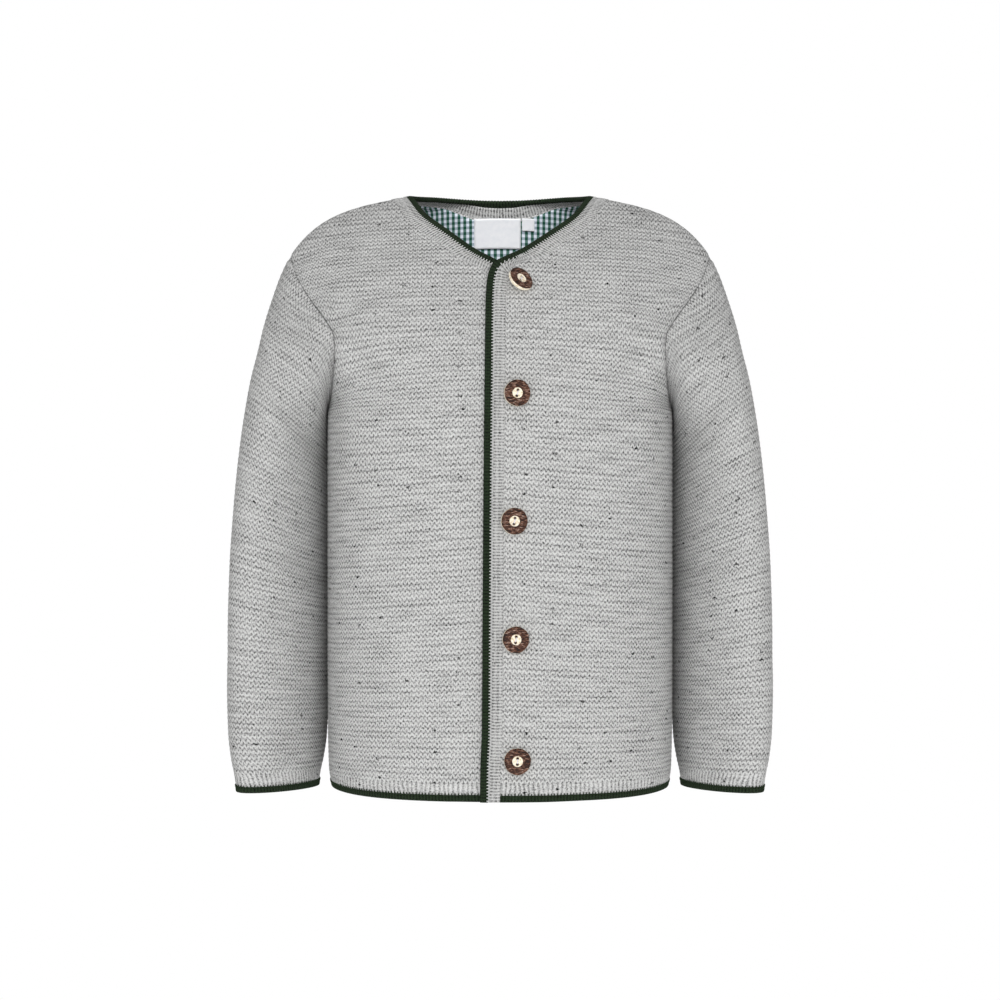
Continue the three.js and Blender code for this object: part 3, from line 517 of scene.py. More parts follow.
class Sleeve:
    """The left sleeve's surface: tilted ellipses, moved near the armhole to start on it."""

    def __init__(self) -> None:
        """Makes the curves and the armhole's dense outline."""
        columns = np.array(SLEEVE, float).T
        curves = [Curve(columns[0], column) for column in columns[1:]]
        self.x_in, self.z_in, self.x_out, self.z_out, self.y_front, self.y_back = curves
        up = np.linspace(UNDERARM, FRONT_TOP, 200)
        down = np.linspace(BACK_TOP, UNDERARM, 240)[1:]
        front_points = front.point(up, math.pi / 2)
        back_points = back.point(down, math.pi / 2)
        self.levels = np.concatenate([up, down])
        self.on_front = np.arange(len(self.levels)) < len(up)
        points = np.concatenate([front_points, back_points])
        steps = norm(np.diff(points, axis=0))[:, 0]
        front_length, back_length = steps[:len(up) - 1].sum(), steps[len(up) - 1:].sum()
        lengths = lengths_along(points, 0)
        self.turns = np.where(
            self.on_front,
            math.pi * lengths / front_length,
            math.pi + math.pi * (lengths - front_length) / back_length,
        )
        self.shifts = points - self.ring(0.0, self.turns)
        torso_ways = np.concatenate([front.normal(up, math.pi / 2), back.normal(down, math.pi / 2)])
        self.seam_ways = unit(torso_ways + self.way(0.0, self.turns))

    def ring(self, run: Array, turn: Array) -> Array:
        """A tilted ellipse: turn 0 at the inner arm, a quarter turn at the front.

        Args:
            run: Distances down the arm.
            turn: Turns round it.

        Returns:
            The points.
        """
        side = np.cos(turn)
        x = (self.x_in(run) + self.x_out(run)) / 2 - (self.x_out(run) - self.x_in(run)) / 2 * side
        z = (self.z_in(run) + self.z_out(run)) / 2 - (self.z_out(run) - self.z_in(run)) / 2 * side
        near, far = self.y_front(run), self.y_back(run)
        middle, depth = (near + far) / 2, (far - near) / 2
        middle = middle + INNER_BACK * smooth(run / INNER_BACK_REACH) * side
        return np.stack(np.broadcast_arrays(x, middle - depth * np.sin(turn), z), axis=-1)

    def along_turn(self, values: Array, turn: Array) -> Array:
        """Values known at the armhole's own turns, read at other turns."""
        turn = np.mod(turn, math.tau)
        return np.stack([np.interp(turn, self.turns, v) for v in values.T], axis=-1)

    def point(self, run: Array, turn: Array) -> Array:
        """Points at runs and turns: the ring plus the armhole's shift, which fades out."""
        fade = 1 - smooth(np.asarray(run, float) / CAP_REACH)
        return self.ring(run, turn) + self.along_turn(self.shifts, turn) * fade[..., None]

    def way(self, run: Array, turn: Array) -> Array:
        """Outward normals, from the steps round and down the arm.

        Args:
            run: Distances down the arm.
            turn: Turns round it.

        Returns:
            Vectors of length one.
        """
        turn_step, run_step = 0.12, 2.0
        run = np.asarray(run, float)
        around = self.point(run, turn + turn_step) - self.point(run, turn - turn_step)
        high, low = np.minimum(run + run_step, SLEEVE_END), np.maximum(run - run_step, 0)
        return unit(np.cross(self.point(high, turn) - self.point(low, turn), around))

    def fold(self, run: Array, turn: Array) -> Array:
        """Height of the soft folds across the arm.

        Args:
            run: Distances down the arm.
            turn: Turns round it.

        Returns:
            The heights in millimetres.
        """
        height = np.zeros(np.broadcast(run, turn).shape)
        for fold in SLEEVE_FOLDS:
            around = np.abs(np.degrees(turn) - fold.x)
            apart = np.minimum(around, 360 - around)
            height += fold.height * bell(apart / fold.length) * bell((run - fold.place) / fold.width)
        return height

    def seam_way(self, level: Array, is_front: bool) -> Array:
        """The armhole seam's direction at levels of the front or the back.

        Args:
            level: Levels along the cloth.
            is_front: Whether they are the front's.

        Returns:
            Vectors of length one.
        """
        chosen = self.on_front == is_front
        levels, ways = self.levels[chosen], self.seam_ways[chosen]
        order = np.argsort(levels)
        return unit(np.stack([np.interp(level, levels[order], w[order]) for w in ways.T], axis=-1))


sleeve = Sleeve()


def cloth_way(torso: Torso, level: Array, angle: Array) -> Array:
    """Normals, turned to the shared direction of front and back at the shoulder seam.

    Args:
        torso: The front or the back.
        level: Levels along the cloth.
        angle: Angles round the row.

    Returns:
        Vectors of length one.
    """
    shared = unit(front.normal(np.full_like(angle, FRONT_TOP), angle) +
                  back.normal(np.full_like(angle, BACK_TOP), angle))
    share = smooth((level - torso.top + SHOULDER_TURN) / SHOULDER_TURN)[..., None]
    return unit(torso.normal(level, angle) * (1 - share) + shared * share)


# Meshes


def tube_faces(rows: int, columns: int) -> Array:
    """Quads between neighbouring rows of a tube's corners, its last column joined to the first.

    Args:
        rows: Number of rows.
        columns: Number of corners round each row.

    Returns:
        Quads, one in each row of the array.
    """
    r = np.arange(rows - 1)[:, None] * columns
    c = np.arange(columns)[None, :]
    n = (c + 1) % columns
    corners = np.broadcast_arrays(r + c, r + n, r + columns + n, r + columns + c)
    return np.stack(corners, axis=-1).reshape(-1, 4)


class Mesh:
    """A mesh being gathered: corners, faces and a UV place for each face's corner."""

    def __init__(self) -> None:
        """Starts empty."""
        self.points: list[Array] = []
        self.faces: list[list[int]] = []
        self.loops: list[Array] = []
        self.count = 0

    def add_points(self, points: Array) -> int:
        """Adds corners.

        Args:
            points: Corners, as rows of 3.

        Returns:
            The first one's index.
        """
        first = self.count
        self.points.append(points.reshape(-1, 3))
        self.count += len(self.points[-1])
        return first

    def add_faces(self, faces: Array | list, uv: Array) -> None:
        """Adds faces and the UV place of each of their corners.

        Args:
            faces: Corner indices of each face.
            uv: Places, in the order of the faces' corners.
        """
        self.faces.extend(faces.tolist() if isinstance(faces, np.ndarray) else faces)
        self.loops.append(np.asarray(uv, float).reshape(-1, 2))

    def build(self, name: str, finish: "Finish") -> bpy.types.Object:
        """Makes the object, smooth shaded, in metres, riding on the body.

        Args:
            name: The piece's name.
            finish: Its finish.

        Returns:
            The new object.
        """
        mesh = bpy.data.meshes.new(name)
        sizes = np.array([len(f) for f in self.faces], np.int32)
        corners = np.fromiter((i for face in self.faces for i in face), np.int32)
        used, corners = np.unique(corners, return_inverse=True)
        corners = corners.astype(np.int32)
        points = np.concatenate(self.points)[used] * MM
        mesh.vertices.add(len(points))
        mesh.vertices.foreach_set("co", points.astype(np.float32).ravel())
        mesh.loops.add(len(corners))
        mesh.loops.foreach_set("vertex_index", corners)
        mesh.polygons.add(len(sizes))
        starts = np.concatenate([[0], np.cumsum(sizes)[:-1]]).astype(np.int32)
        mesh.polygons.foreach_set("loop_start", starts)
        mesh.polygons.foreach_set("loop_total", sizes)
        mesh.polygons.foreach_set("use_smooth", np.ones(len(sizes), bool))
        layer = mesh.uv_layers.new(name="cloth")
        layer.data.foreach_set("uv", np.concatenate(self.loops).astype(np.float32).ravel())
        mesh.update(calc_edges=True)
        mesh.validate()
        if signed_volume(points, corners, starts, sizes) < 0:
            mesh.flip_normals()
        piece = bpy.data.objects.new(name, mesh)
        bpy.context.scene.collection.objects.link(piece)
        piece.data.materials.append(finish.material())
        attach(piece, "root")
        log.info("%s: %d faces", name, len(sizes))
        return piece


def signed_volume(points: Array, corners: Array, starts: Array, sizes: Array) -> float:
    """Six times the volume inside the faces' first two triangles, negative where they point in.

    Args:
        points: Corners.
        corners: Corner indices of all faces in a row.
        starts: Where each face starts in them.
        sizes: How many corners it has.

    Returns:
        The volume, in cubic metres where the points are in metres.
    """
    total = 0.0
    for step in (1, 2):
        at = starts[sizes > step + 1]
        a, b, c = points[corners[at]], points[corners[at + step]], points[corners[at + step + 1]]
        total += float(np.sum(a * np.cross(b, c)))
    return total


def knit_shell(outer: Array, inner: Array, uv: Array, skip: tuple[int, int], closed: bool = False,
               part_row: int | None = None) -> Mesh:
    """A thin closed shell: a fine outer grid, a coarse inner one, and rims that join them.

    Args:
        outer: Outer points, rows by columns by 3.
        inner: Inner points on the same grid.
        uv: Places on the cloth in millimetres, with one more column where the grid is closed.
        skip: The inner sheet keeps one row and one column of so many.
        closed: Whether the columns close round a tube.
        part_row: Where given, the grid is two equal halves, welded up to this row and apart above.

    Returns:
        The gathered mesh.
    """
    mesh = Mesh()
    rows, columns = outer.shape[:2]
    wide = columns // 2 if part_row is not None else columns
    lanes = [np.arange(a, a + wide) for a in range(0, columns, wide)]
    kept_rows = np.arange(0, rows, skip[0])

    def sheet(points: Array, first: int, row_at: Array, up: bool) -> list[Array]:
        """Faces of one sheet.

        Args:
            points: The outer or the inner points.
            first: Index of the sheet's first corner.
            row_at: The rows it keeps.
            up: Whether it is the fine outer sheet, which faces outwards.

        Returns:
            Each lane's grid of corner indices.
        """
        grids = []
        for lane in lanes:
            kept = lane if up else lane[::skip[1]]
            number = np.arange(len(row_at) * len(kept)).reshape(len(row_at), -1) + first
            first += number.size
            if grids:
                weld = row_at <= part_row
                number[weld, 0] = grids[-1][weld, -1]
            mesh.add_points(points[np.ix_(row_at, kept)])
            grids.append(number)
            spot = np.append(kept, columns) if closed else kept
            ring = np.concatenate([number, number[:, :1]], axis=1) if closed else number
            places = uv[np.ix_(row_at, spot)]
            corners = [(slice(None, -1), slice(None, -1)), (slice(None, -1), slice(1, None)),
                       (slice(1, None), slice(1, None)), (slice(1, None), slice(None, -1))]
            corners = corners if up else corners[::-1]
            mesh.add_faces(np.stack([ring[c] for c in corners], axis=-1).reshape(-1, 4),
                           np.stack([places[c] for c in corners], axis=-2))
        return grids

    fine = sheet(outer, 0, np.arange(rows), True)
    coarse = sheet(inner, mesh.count, kept_rows, False)

    def rim(near: Array, far: Array, places: Array, step: int, flip: bool) -> None:
        """A band of faces between a fine and a coarse line of corners.

        Args:
            near: Corners of the fine line.
            far: Corners of the coarse line.
            places: UV places of the fine line.
            step: Fine corners to a coarse one.
            flip: Whether the faces turn the other way.
        """
        for k in range(len(far) - 1):
            line = slice(k * step, (k + 1) * step + 1)
            face = near[line].tolist() + [int(far[k + 1]), int(far[k])]
            spots = np.concatenate([places[line], places[[(k + 1) * step, k * step]]])
            mesh.add_faces([face[::-1]] if flip else [face], spots[::-1] if flip else spots)

    for lane, near, far in zip(lanes, fine, coarse):
        spot = np.append(lane, columns) if closed else lane
        for row, flip in ((0, True), (-1, False)):
            a, b = (np.append(g[row], g[row, :1]) if closed else g[row] for g in (near, far))
            rim(a, b, uv[row, spot], skip[1], flip)
        if closed:
            continue
        for column, flip in ((0, False), (-1, True)):
            inside = part_row is not None and (lane[column] not in (0, columns - 1))
            low = part_row if inside else 0
            rim(near[low:, column], far[low // skip[0]:, column], uv[low:, lane[column]], skip[0], flip)
    return mesh


def cord_mesh(points: Array, uv: Array, closed_along: bool = False) -> Mesh:
    """A closed band: sections of points carried along a path, with flat ends.

    Args:
        points: Sections by points round each section by 3.
        uv: Places on the cloth, with one more column than the points.
        closed_along: Whether the last section joins the first.

    Returns:
        The gathered mesh.
    """
    mesh = Mesh()
    sections, sides = points.shape[:2]
    mesh.add_points(points)
    quads = tube_faces(sections, sides)
    near, far = uv[:-1], uv[1:]
    mesh.add_faces(quads, np.stack([near[:, :-1], near[:, 1:], far[:, 1:], far[:, :-1]], axis=2))
    last = (sections - 1) * sides
    ring = np.arange(sides)
    if closed_along:
        join = np.stack([last + ring, last + (ring + 1) % sides, (ring + 1) % sides, ring], axis=-1)
        spots = np.stack([uv[-2, ring], uv[-2, ring + 1], uv[-1, ring + 1], uv[-1, ring]], axis=1)
        mesh.add_faces(join, spots)
    else:
        mesh.add_faces([ring[::-1].tolist(), (last + ring).tolist()],
                       np.concatenate([uv[0, ring[::-1]], uv[-1, ring]]))
    return mesh


# Finishes


def linear(colour: str) -> tuple[float, float, float, float]:
    """An sRGB hex colour as linear red, green, blue and 1."""
    parts = [int(colour[i:i + 2], 16) / 255 for i in (0, 2, 4)]
    return (*[c / 12.92 if c <= 0.04045 else ((c + 0.055) / 1.055) ** 2.4 for c in parts], 1.0)


def node(tree: bpy.types.NodeTree, kind: str, settings: dict | None = None, **links: object) -> object:
    """Adds a shader node with its settings and links.

    Args:
        tree: The material's node tree.
        kind: The node's type after ShaderNode.
        settings: Its properties; a key of a ramp sets its stops.
        **links: Inputs by name, or by place as in_0; a socket is linked and a value is set.

    Returns:
        The node's first output, or the node itself where it has none.
    """
    made = tree.nodes.new(f"ShaderNode{kind}")
    for key, value in (settings or {}).items():
        if key == "stops":
            ramp = made.color_ramp.elements
            for element, (place, colour) in zip(ramp, value):
                element.position, element.color = place, colour
            for place, colour in value[len(ramp):]:
                ramp.new(place).color = colour
        else:
            setattr(made, key, value)
    for key, value in links.items():
        socket = made.inputs[int(key[3:])] if key.startswith("in_") else made.inputs[key.replace("_", " ")]
        if isinstance(value, bpy.types.NodeSocket):
            tree.links.new(value, socket)
        else:
            socket.default_value = value
    return made.outputs[0] if made.outputs else made


# Settings that several nodes share
MULTIPLY = {"operation": "MULTIPLY"}
MULTIPLY_ADD = {"operation": "MULTIPLY_ADD"}
FLAT_NOISE = {"noise_dimensions": "2D"}


class Pattern(Enum):
    """How a knitted finish is worked."""

    GARTER = "garter"
    RIB = "rib"


@dataclass(frozen=True)
class Finish:
    """A finish: its name, the record's slot, and its colour and roughness."""

    name: str
    slot: str
    colour: str
    roughness: float

    def material(self) -> bpy.types.Material:
        """The material, made once.

        Returns:
            The finished material.
        """
        known = bpy.data.materials.get(self.name)
        if known:
            return known
        material = bpy.data.materials.new(self.name)
        material.use_nodes = True
        material.node_tree.nodes.clear()
        self.dress(material.node_tree)
        return material

    def surface(self, tree: bpy.types.NodeTree, colour: object, bump: object, height: float) -> None:
        """The shader and output, from a colour and a bump height in millimetres.

        Args:
            tree: The material's node tree.
            colour: A socket or a linear colour.
            bump: The socket that gives the relief.
            height: Its depth in millimetres.
        """
        bumped = node(tree, "Bump", Strength=1.0, Distance=height * MM, Height=bump)
        shader = node(tree, "BsdfPrincipled", Base_Color=colour, Roughness=self.roughness, Normal=bumped,
                      Specular_IOR_Level=0.2)
        node(tree, "OutputMaterial", Surface=shader)

    def dress(self, tree: bpy.types.NodeTree) -> None:
        """Adds the finish's nodes."""
        raise NotImplementedError


@dataclass(frozen=True)
class KnitFinish(Finish):
    """Cotton knit: pale melange yarn in garter ridges or ribs, with painted shade in the gaps between
    stitches.

    UV places are millimetres on the cloth, u along the row and v up the garment.
    """

    pattern: Pattern = Pattern.GARTER
    pitch: float = RIDGE
    stitch: float = STITCH
    # How much painted shade darkens the gaps between stitches
    dark: float = 0.63
    sway: float = 1.5
    rows: float = 0.62
    flecks: float = 0.62
    wander: float = 2.4

    def dress(self, tree: bpy.types.NodeTree) -> None:
        """Adds painted shade in the stitch gaps, fibres, darker rows and neps to the yarn's colour.

        A garter ridge is a cosine up the cloth whose phase waves with the stitches, so that the
        painted shade in the gaps lies as staggered dots on both sides of a waving bright line.

        Args:
            tree: The material's node tree.
        """
        uv = node(tree, "UVMap", {"uv_map": "cloth"})
        split = node(tree, "SeparateXYZ", in_0=uv)
        u, v = split.node.outputs[0], split.node.outputs[1]
        # Stitches wander sideways, by less than one stitch
        wander = node(tree, "TexNoise", FLAT_NOISE, Vector=uv, Scale=0.12, Detail=3.0)
        lean = node(tree, "Math", MULTIPLY_ADD, in_0=wander, in_1=self.wander, in_2=u)
        across = node(tree, "Math", MULTIPLY, in_0=lean, in_1=math.tau / self.stitch)
        stitch_wave = node(tree, "Math", {"operation": "COSINE"}, in_0=across)
        if self.pattern is Pattern.GARTER:
            gap_shade = self.garter_gap_shade(tree, v, stitch_wave)
        else:
            # Painted shade in the gaps between the ribs
            fine = node(tree, "Math", MULTIPLY, in_0=v, in_1=math.tau / self.pitch)
            fine = node(tree, "Math", {"operation": "COSINE"}, in_0=fine)
            gap_shade = node(tree, "Math", MULTIPLY_ADD, in_0=fine, in_1=0.35, in_2=stitch_wave)
            gap_shade = node(tree, "MapRange", in_0=gap_shade, in_1=0.6, in_2=-1.2)
        # Clumps of fibre of about a millimetre, coarser than the real fuzz so that they show
        fibres = node(tree, "TexNoise", FLAT_NOISE, Vector=uv, Scale=0.8, Detail=3.0, Roughness=0.75)
        # Rows of darker yarn: noise of one ridge's height, drawn out along the row
        row_place = node(tree, "Mapping", Vector=uv, Scale=(0.035, 0.27, 1.0))
        rows = node(tree, "TexNoise", FLAT_NOISE, Vector=row_place, Scale=1.0, Detail=4.0, Roughness=0.6)
        # Neps: a small ragged spot in some cells of 20 by 12 mm
        cells = node(tree, "Mapping", Vector=uv, Scale=(0.05, 0.085, 1.0))
        spot = node(tree, "TexVoronoi", {"voronoi_dimensions": "2D"}, Vector=cells, Scale=1.0,
                    Randomness=1.0)
        pick = node(tree, "SeparateColor", Color=spot.node.outputs["Color"])
        chosen = node(tree, "MapRange", in_0=pick, in_1=0.6, in_2=0.9)
        ragged = node(tree, "Math", MULTIPLY_ADD, in_0=fibres, in_1=0.16, in_2=spot)
        nep = node(tree, "MapRange", in_0=ragged, in_1=0.18, in_2=0.12)
        nep = node(tree, "Math", MULTIPLY, in_0=nep, in_1=chosen)
        # The painted shade of the gaps darkens the yarn's colour
        shade = node(tree, "Math", MULTIPLY_ADD, in_0=gap_shade, in_1=-self.dark, in_2=1.0)
        for source, amount in ((rows, self.rows), (fibres, 2.0)):
            part = node(tree, "MapRange", {"clamp": False}, in_0=source, in_3=-amount / 2, in_4=amount / 2)
            shade = node(tree, "Math", {"operation": "ADD"}, in_0=shade, in_1=part)
        shade = node(tree, "Math", {"operation": "MULTIPLY_ADD", "use_clamp": True}, in_0=nep,
                     in_1=-self.flecks, in_2=shade)
        grey = node(tree, "CombineColor", in_0=shade, in_1=shade, in_2=shade)
        tint = node(tree, "Mix", {"data_type": "RGBA", "blend_type": "MULTIPLY"}, in_0=1.0,
                    in_6=linear(self.colour), in_7=grey)
        # The same gaps, which carry the painted shade, also sink the bump
        bump = node(tree, "Math", MULTIPLY_ADD, in_0=gap_shade, in_1=-1.0, in_2=fibres)
        self.surface(tree, tint.node.outputs[2], bump, 0.4)

    def garter_gap_shade(self, tree: bpy.types.NodeTree, v: object, stitch_wave: object) -> object:
        """Painted shade between the garter ridges, and between the ribs of the strip at the hem.

        Args:
            tree: The material's node tree.
            v: Height up the cloth.
            stitch_wave: The cosine across the stitches.

        Returns:
            The socket of painted shade, from 0 to about 1.
        """
        climb = node(tree, "Math", MULTIPLY, in_0=v, in_1=math.tau / self.pitch)
        phase = node(tree, "Math", MULTIPLY_ADD, in_0=stitch_wave, in_1=self.sway, in_2=climb)
        ridge = node(tree, "Math", {"operation": "COSINE"}, in_0=phase)
        column = node(tree, "Math", MULTIPLY, in_0=stitch_wave, in_1=stitch_wave)
        gap_shade = node(tree, "Math", MULTIPLY_ADD, in_0=ridge, in_1=-0.4, in_2=0.37)
        gap_shade = node(tree, "Math", MULTIPLY_ADD, in_0=column, in_1=0.26, in_2=gap_shade)
        # Painted shade between the upright ribs of the strip at the hem
        rib_gap_shade = node(tree, "MapRange", in_0=stitch_wave, in_1=0.6, in_2=-1.0, in_3=0.14, in_4=0.84)
        band = node(tree, "Math", {"operation": "LESS_THAN"}, in_0=v, in_1=HEM_BAND)
        return node(tree, "Mix", {"data_type": "FLOAT"}, in_0=band, in_2=gap_shade, in_3=rib_gap_shade)


@dataclass(frozen=True)
class GinghamFinish(Finish):
    """Woven cotton check: green and white stripes each way, the upright ones stronger, darkened by painted
    shade.
    """

    check: float = 4.75
    # The white is greyed and blued as painted shade for the inside of the neck
    white: str = "dfe4ef"

    def dress(self, tree: bpy.types.NodeTree) -> None:
        """Each way has a green stripe of half the repeat; the shares of green add up.

        Args:
            tree: The material's node tree.
        """
        uv = node(tree, "UVMap", {"uv_map": "cloth"})
        split = node(tree, "SeparateXYZ", in_0=uv)
        stripes = []
        for i in (0, 1):
            wave = node(tree, "Math", MULTIPLY, in_0=split.node.outputs[i], in_1=math.tau / self.check)
            wave = node(tree, "Math", {"operation": "SINE"}, in_0=wave)
            stripes.append(node(tree, "MapRange", in_0=wave, in_1=-0.15, in_2=0.15))
        share = node(tree, "Math", MULTIPLY, in_0=stripes[0], in_1=0.64)
        share = node(tree, "Math", MULTIPLY_ADD, in_0=stripes[1], in_1=0.36, in_2=share)
        # The weave's threads, a third of a millimetre
        weave = node(tree, "TexNoise", FLAT_NOISE, Vector=uv, Scale=3.0, Detail=2.0)
        share = node(tree, "Math", MULTIPLY_ADD, in_0=weave, in_1=0.16, in_2=share)
        share = node(tree, "Math", {"operation": "SUBTRACT"}, in_0=share, in_1=0.08)
        # The check's green and white, with the white and the middle stops darkened as painted shade for
        # the inside of the neck
        colour = node(tree, "ValToRGB", {"stops": [
            (0.08, linear(self.white)), (0.36, linear("9fadb9")), (0.64, linear("577a70")),
            (0.94, linear(self.colour))]}, in_0=share)
        self.surface(tree, colour, weave, 0.12)


@dataclass(frozen=True)
class LabelFinish(Finish):
    """Woven satin label: plain, pale, with a fine weft line."""

    def dress(self, tree: bpy.types.NodeTree) -> None:
        """Fine weft lines in the bump and a faint cloudiness in the colour.

        Args:
            tree: The material's node tree.
        """
        uv = node(tree, "UVMap", {"uv_map": "cloth"})
        cloud = node(tree, "TexNoise", FLAT_NOISE, Vector=uv, Scale=0.25, Detail=3.0)
        colour = node(tree, "ValToRGB", {"stops": [
            (0.3, linear(self.colour)), (0.7, linear("e8eaee"))]}, in_0=cloud)
        # Weft lines about 0.6 mm apart, coarser than real ones so that they show
        weft = node(tree, "TexWave", {"bands_direction": "Y"}, Vector=uv, Scale=0.5)
        self.surface(tree, colour, weft, 0.06)


@dataclass(frozen=True)
class BarkFinish(Finish):
    """Antler rind: dark brown, ridged grain with greyish worn crests."""

    def dress(self, tree: bpy.types.NodeTree) -> None:
        """Grain from stretched noise; the crests are greyer and the pits nearly black.

        Args:
            tree: The material's node tree.
        """
        place = node(tree, "TexCoord").node.outputs["Object"]
        # Grain about 3 mm long and under 1 mm wide, lying askew on the button
        turned = node(tree, "Mapping", Vector=place, Scale=(330.0, 330.0, 1250.0),
                      Rotation=(0.2, 0.75, 0.3))
        grain = node(tree, "TexNoise", Vector=turned, Scale=1.0, Detail=5.0, Roughness=0.65)
        colour = node(tree, "ValToRGB", {"stops": [
            (0.4, linear("140b08")), (0.49, linear(self.colour)), (0.56, linear("6a4533")),
            (0.66, linear("a08d82"))]}, in_0=grain)
        self.surface(tree, colour, grain, 0.5)


@dataclass(frozen=True)
class BoneFinish(Finish):
    """Antler core and rim: cream, faintly porous."""

    def dress(self, tree: bpy.types.NodeTree) -> None:
        """Cloudy cream with fine pores.

        Args:
            tree: The material's node tree.
        """
        place = node(tree, "TexCoord").node.outputs["Object"]
        # Pores of about 1.4 mm, coarser than real ones so that they show
        pores = node(tree, "TexNoise", Vector=place, Scale=700.0, Detail=4.0)
        colour = node(tree, "ValToRGB", {"stops": [
            (0.34, linear("cbb797")), (0.48, linear(self.colour)), (0.7, linear("f6f0e2"))]}, in_0=pores)
        self.surface(tree, colour, pores, 0.08)


@dataclass(frozen=True)
class ThreadFinish(Finish):
    """Sewing thread: twisted white cotton."""

    def dress(self, tree: bpy.types.NodeTree) -> None:
        """A fine twist in the bump.

        Args:
            tree: The material's node tree.
        """
        place = node(tree, "TexCoord").node.outputs["Object"]
        # Strands of about 0.4 mm
        twist = node(tree, "TexNoise", Vector=place, Scale=2500.0, Detail=2.0)
        colour = node(tree, "ValToRGB", {"stops": [
            (0.3, linear("b9b6c4")), (0.6, linear(self.colour))]}, in_0=twist)
        self.surface(tree, colour, twist, 0.08)


BODY_KNIT = KnitFinish("melange garter knit", "garter_knit", "d1d1d0", 0.95)
SLEEVE_KNIT = KnitFinish("sleeve garter knit", "garter_knit", "cfcfce", 0.95, pitch=3.6)
# The trims set their own depth of painted shade between the ribs
BAND_KNIT = KnitFinish("melange trim knit", "plain_knit_band", "c6c6c5", 0.95, Pattern.RIB, pitch=3.4,
                       stitch=TRIM_RIB, dark=0.62, flecks=0.3, wander=0.0)
GREEN_KNIT = KnitFinish("dark green trim knit", "green_edge", "22301e", 0.9, Pattern.RIB, pitch=1.6,
                        stitch=GREEN_RIB, dark=0.7, flecks=0.0, wander=0.0)
GINGHAM = GinghamFinish("green gingham cotton", "gingham", "1f4a3c", 0.85)
LABEL = LabelFinish("plain woven label", "woven_label", "eeeff2", 0.6)
BARK = BarkFinish("antler rind", "horn", "3c2217", 0.5)
BONE = BoneFinish("antler core", "horn", "ece1ca", 0.45)
THREAD = ThreadFinish("sewing thread", "sewing_thread", "e9e7ee", 0.8)


# Sub-assemblies


def relief(u: Array, v: Array, sunk: Array, pitch: float = RIDGE) -> Array:
    """Height of the knit over its wall, in millimetres.

    Garter ridges are a cosine of v; below the hem band there are upright ribs, a cosine of u.

    Args:
        u: Distance along the row.
        v: Height up the cloth.
        sunk: How far the cloth sinks towards its seams.
        pitch: From ridge to ridge.

    Returns:
        The heights.
    """
    ridges = 0.5 * RIDGE_HEIGHT * np.cos(math.tau * v / pitch)
    ribs = 0.5 * HEM_RIB_HEIGHT * np.cos(math.tau * u / STITCH)
    share = smooth((v - HEM_BAND + 1) / 2)
    return ridges * share + ribs * (1 - share) - sunk


def seam_sink(points: Array, seams: tuple[tuple[int, bool, float, float], ...]) -> Array:
    """How far a grid of cloth sinks towards its seams: the deepest of their bells.

    Args:
        points: The grid's points.
        seams: Axis of the grid, whether the seam lies at its end, depth and width.

    Returns:
        The depths in millimetres.
    """
    deepest = np.zeros(points.shape[:2])
    for axis, at_end, depth, width in seams:
        run = lengths_along(points, axis)
        away = np.take(run, [-1], axis=axis) - run if at_end else run
        deepest = np.maximum(deepest, depth * bell(away / width))
    return deepest


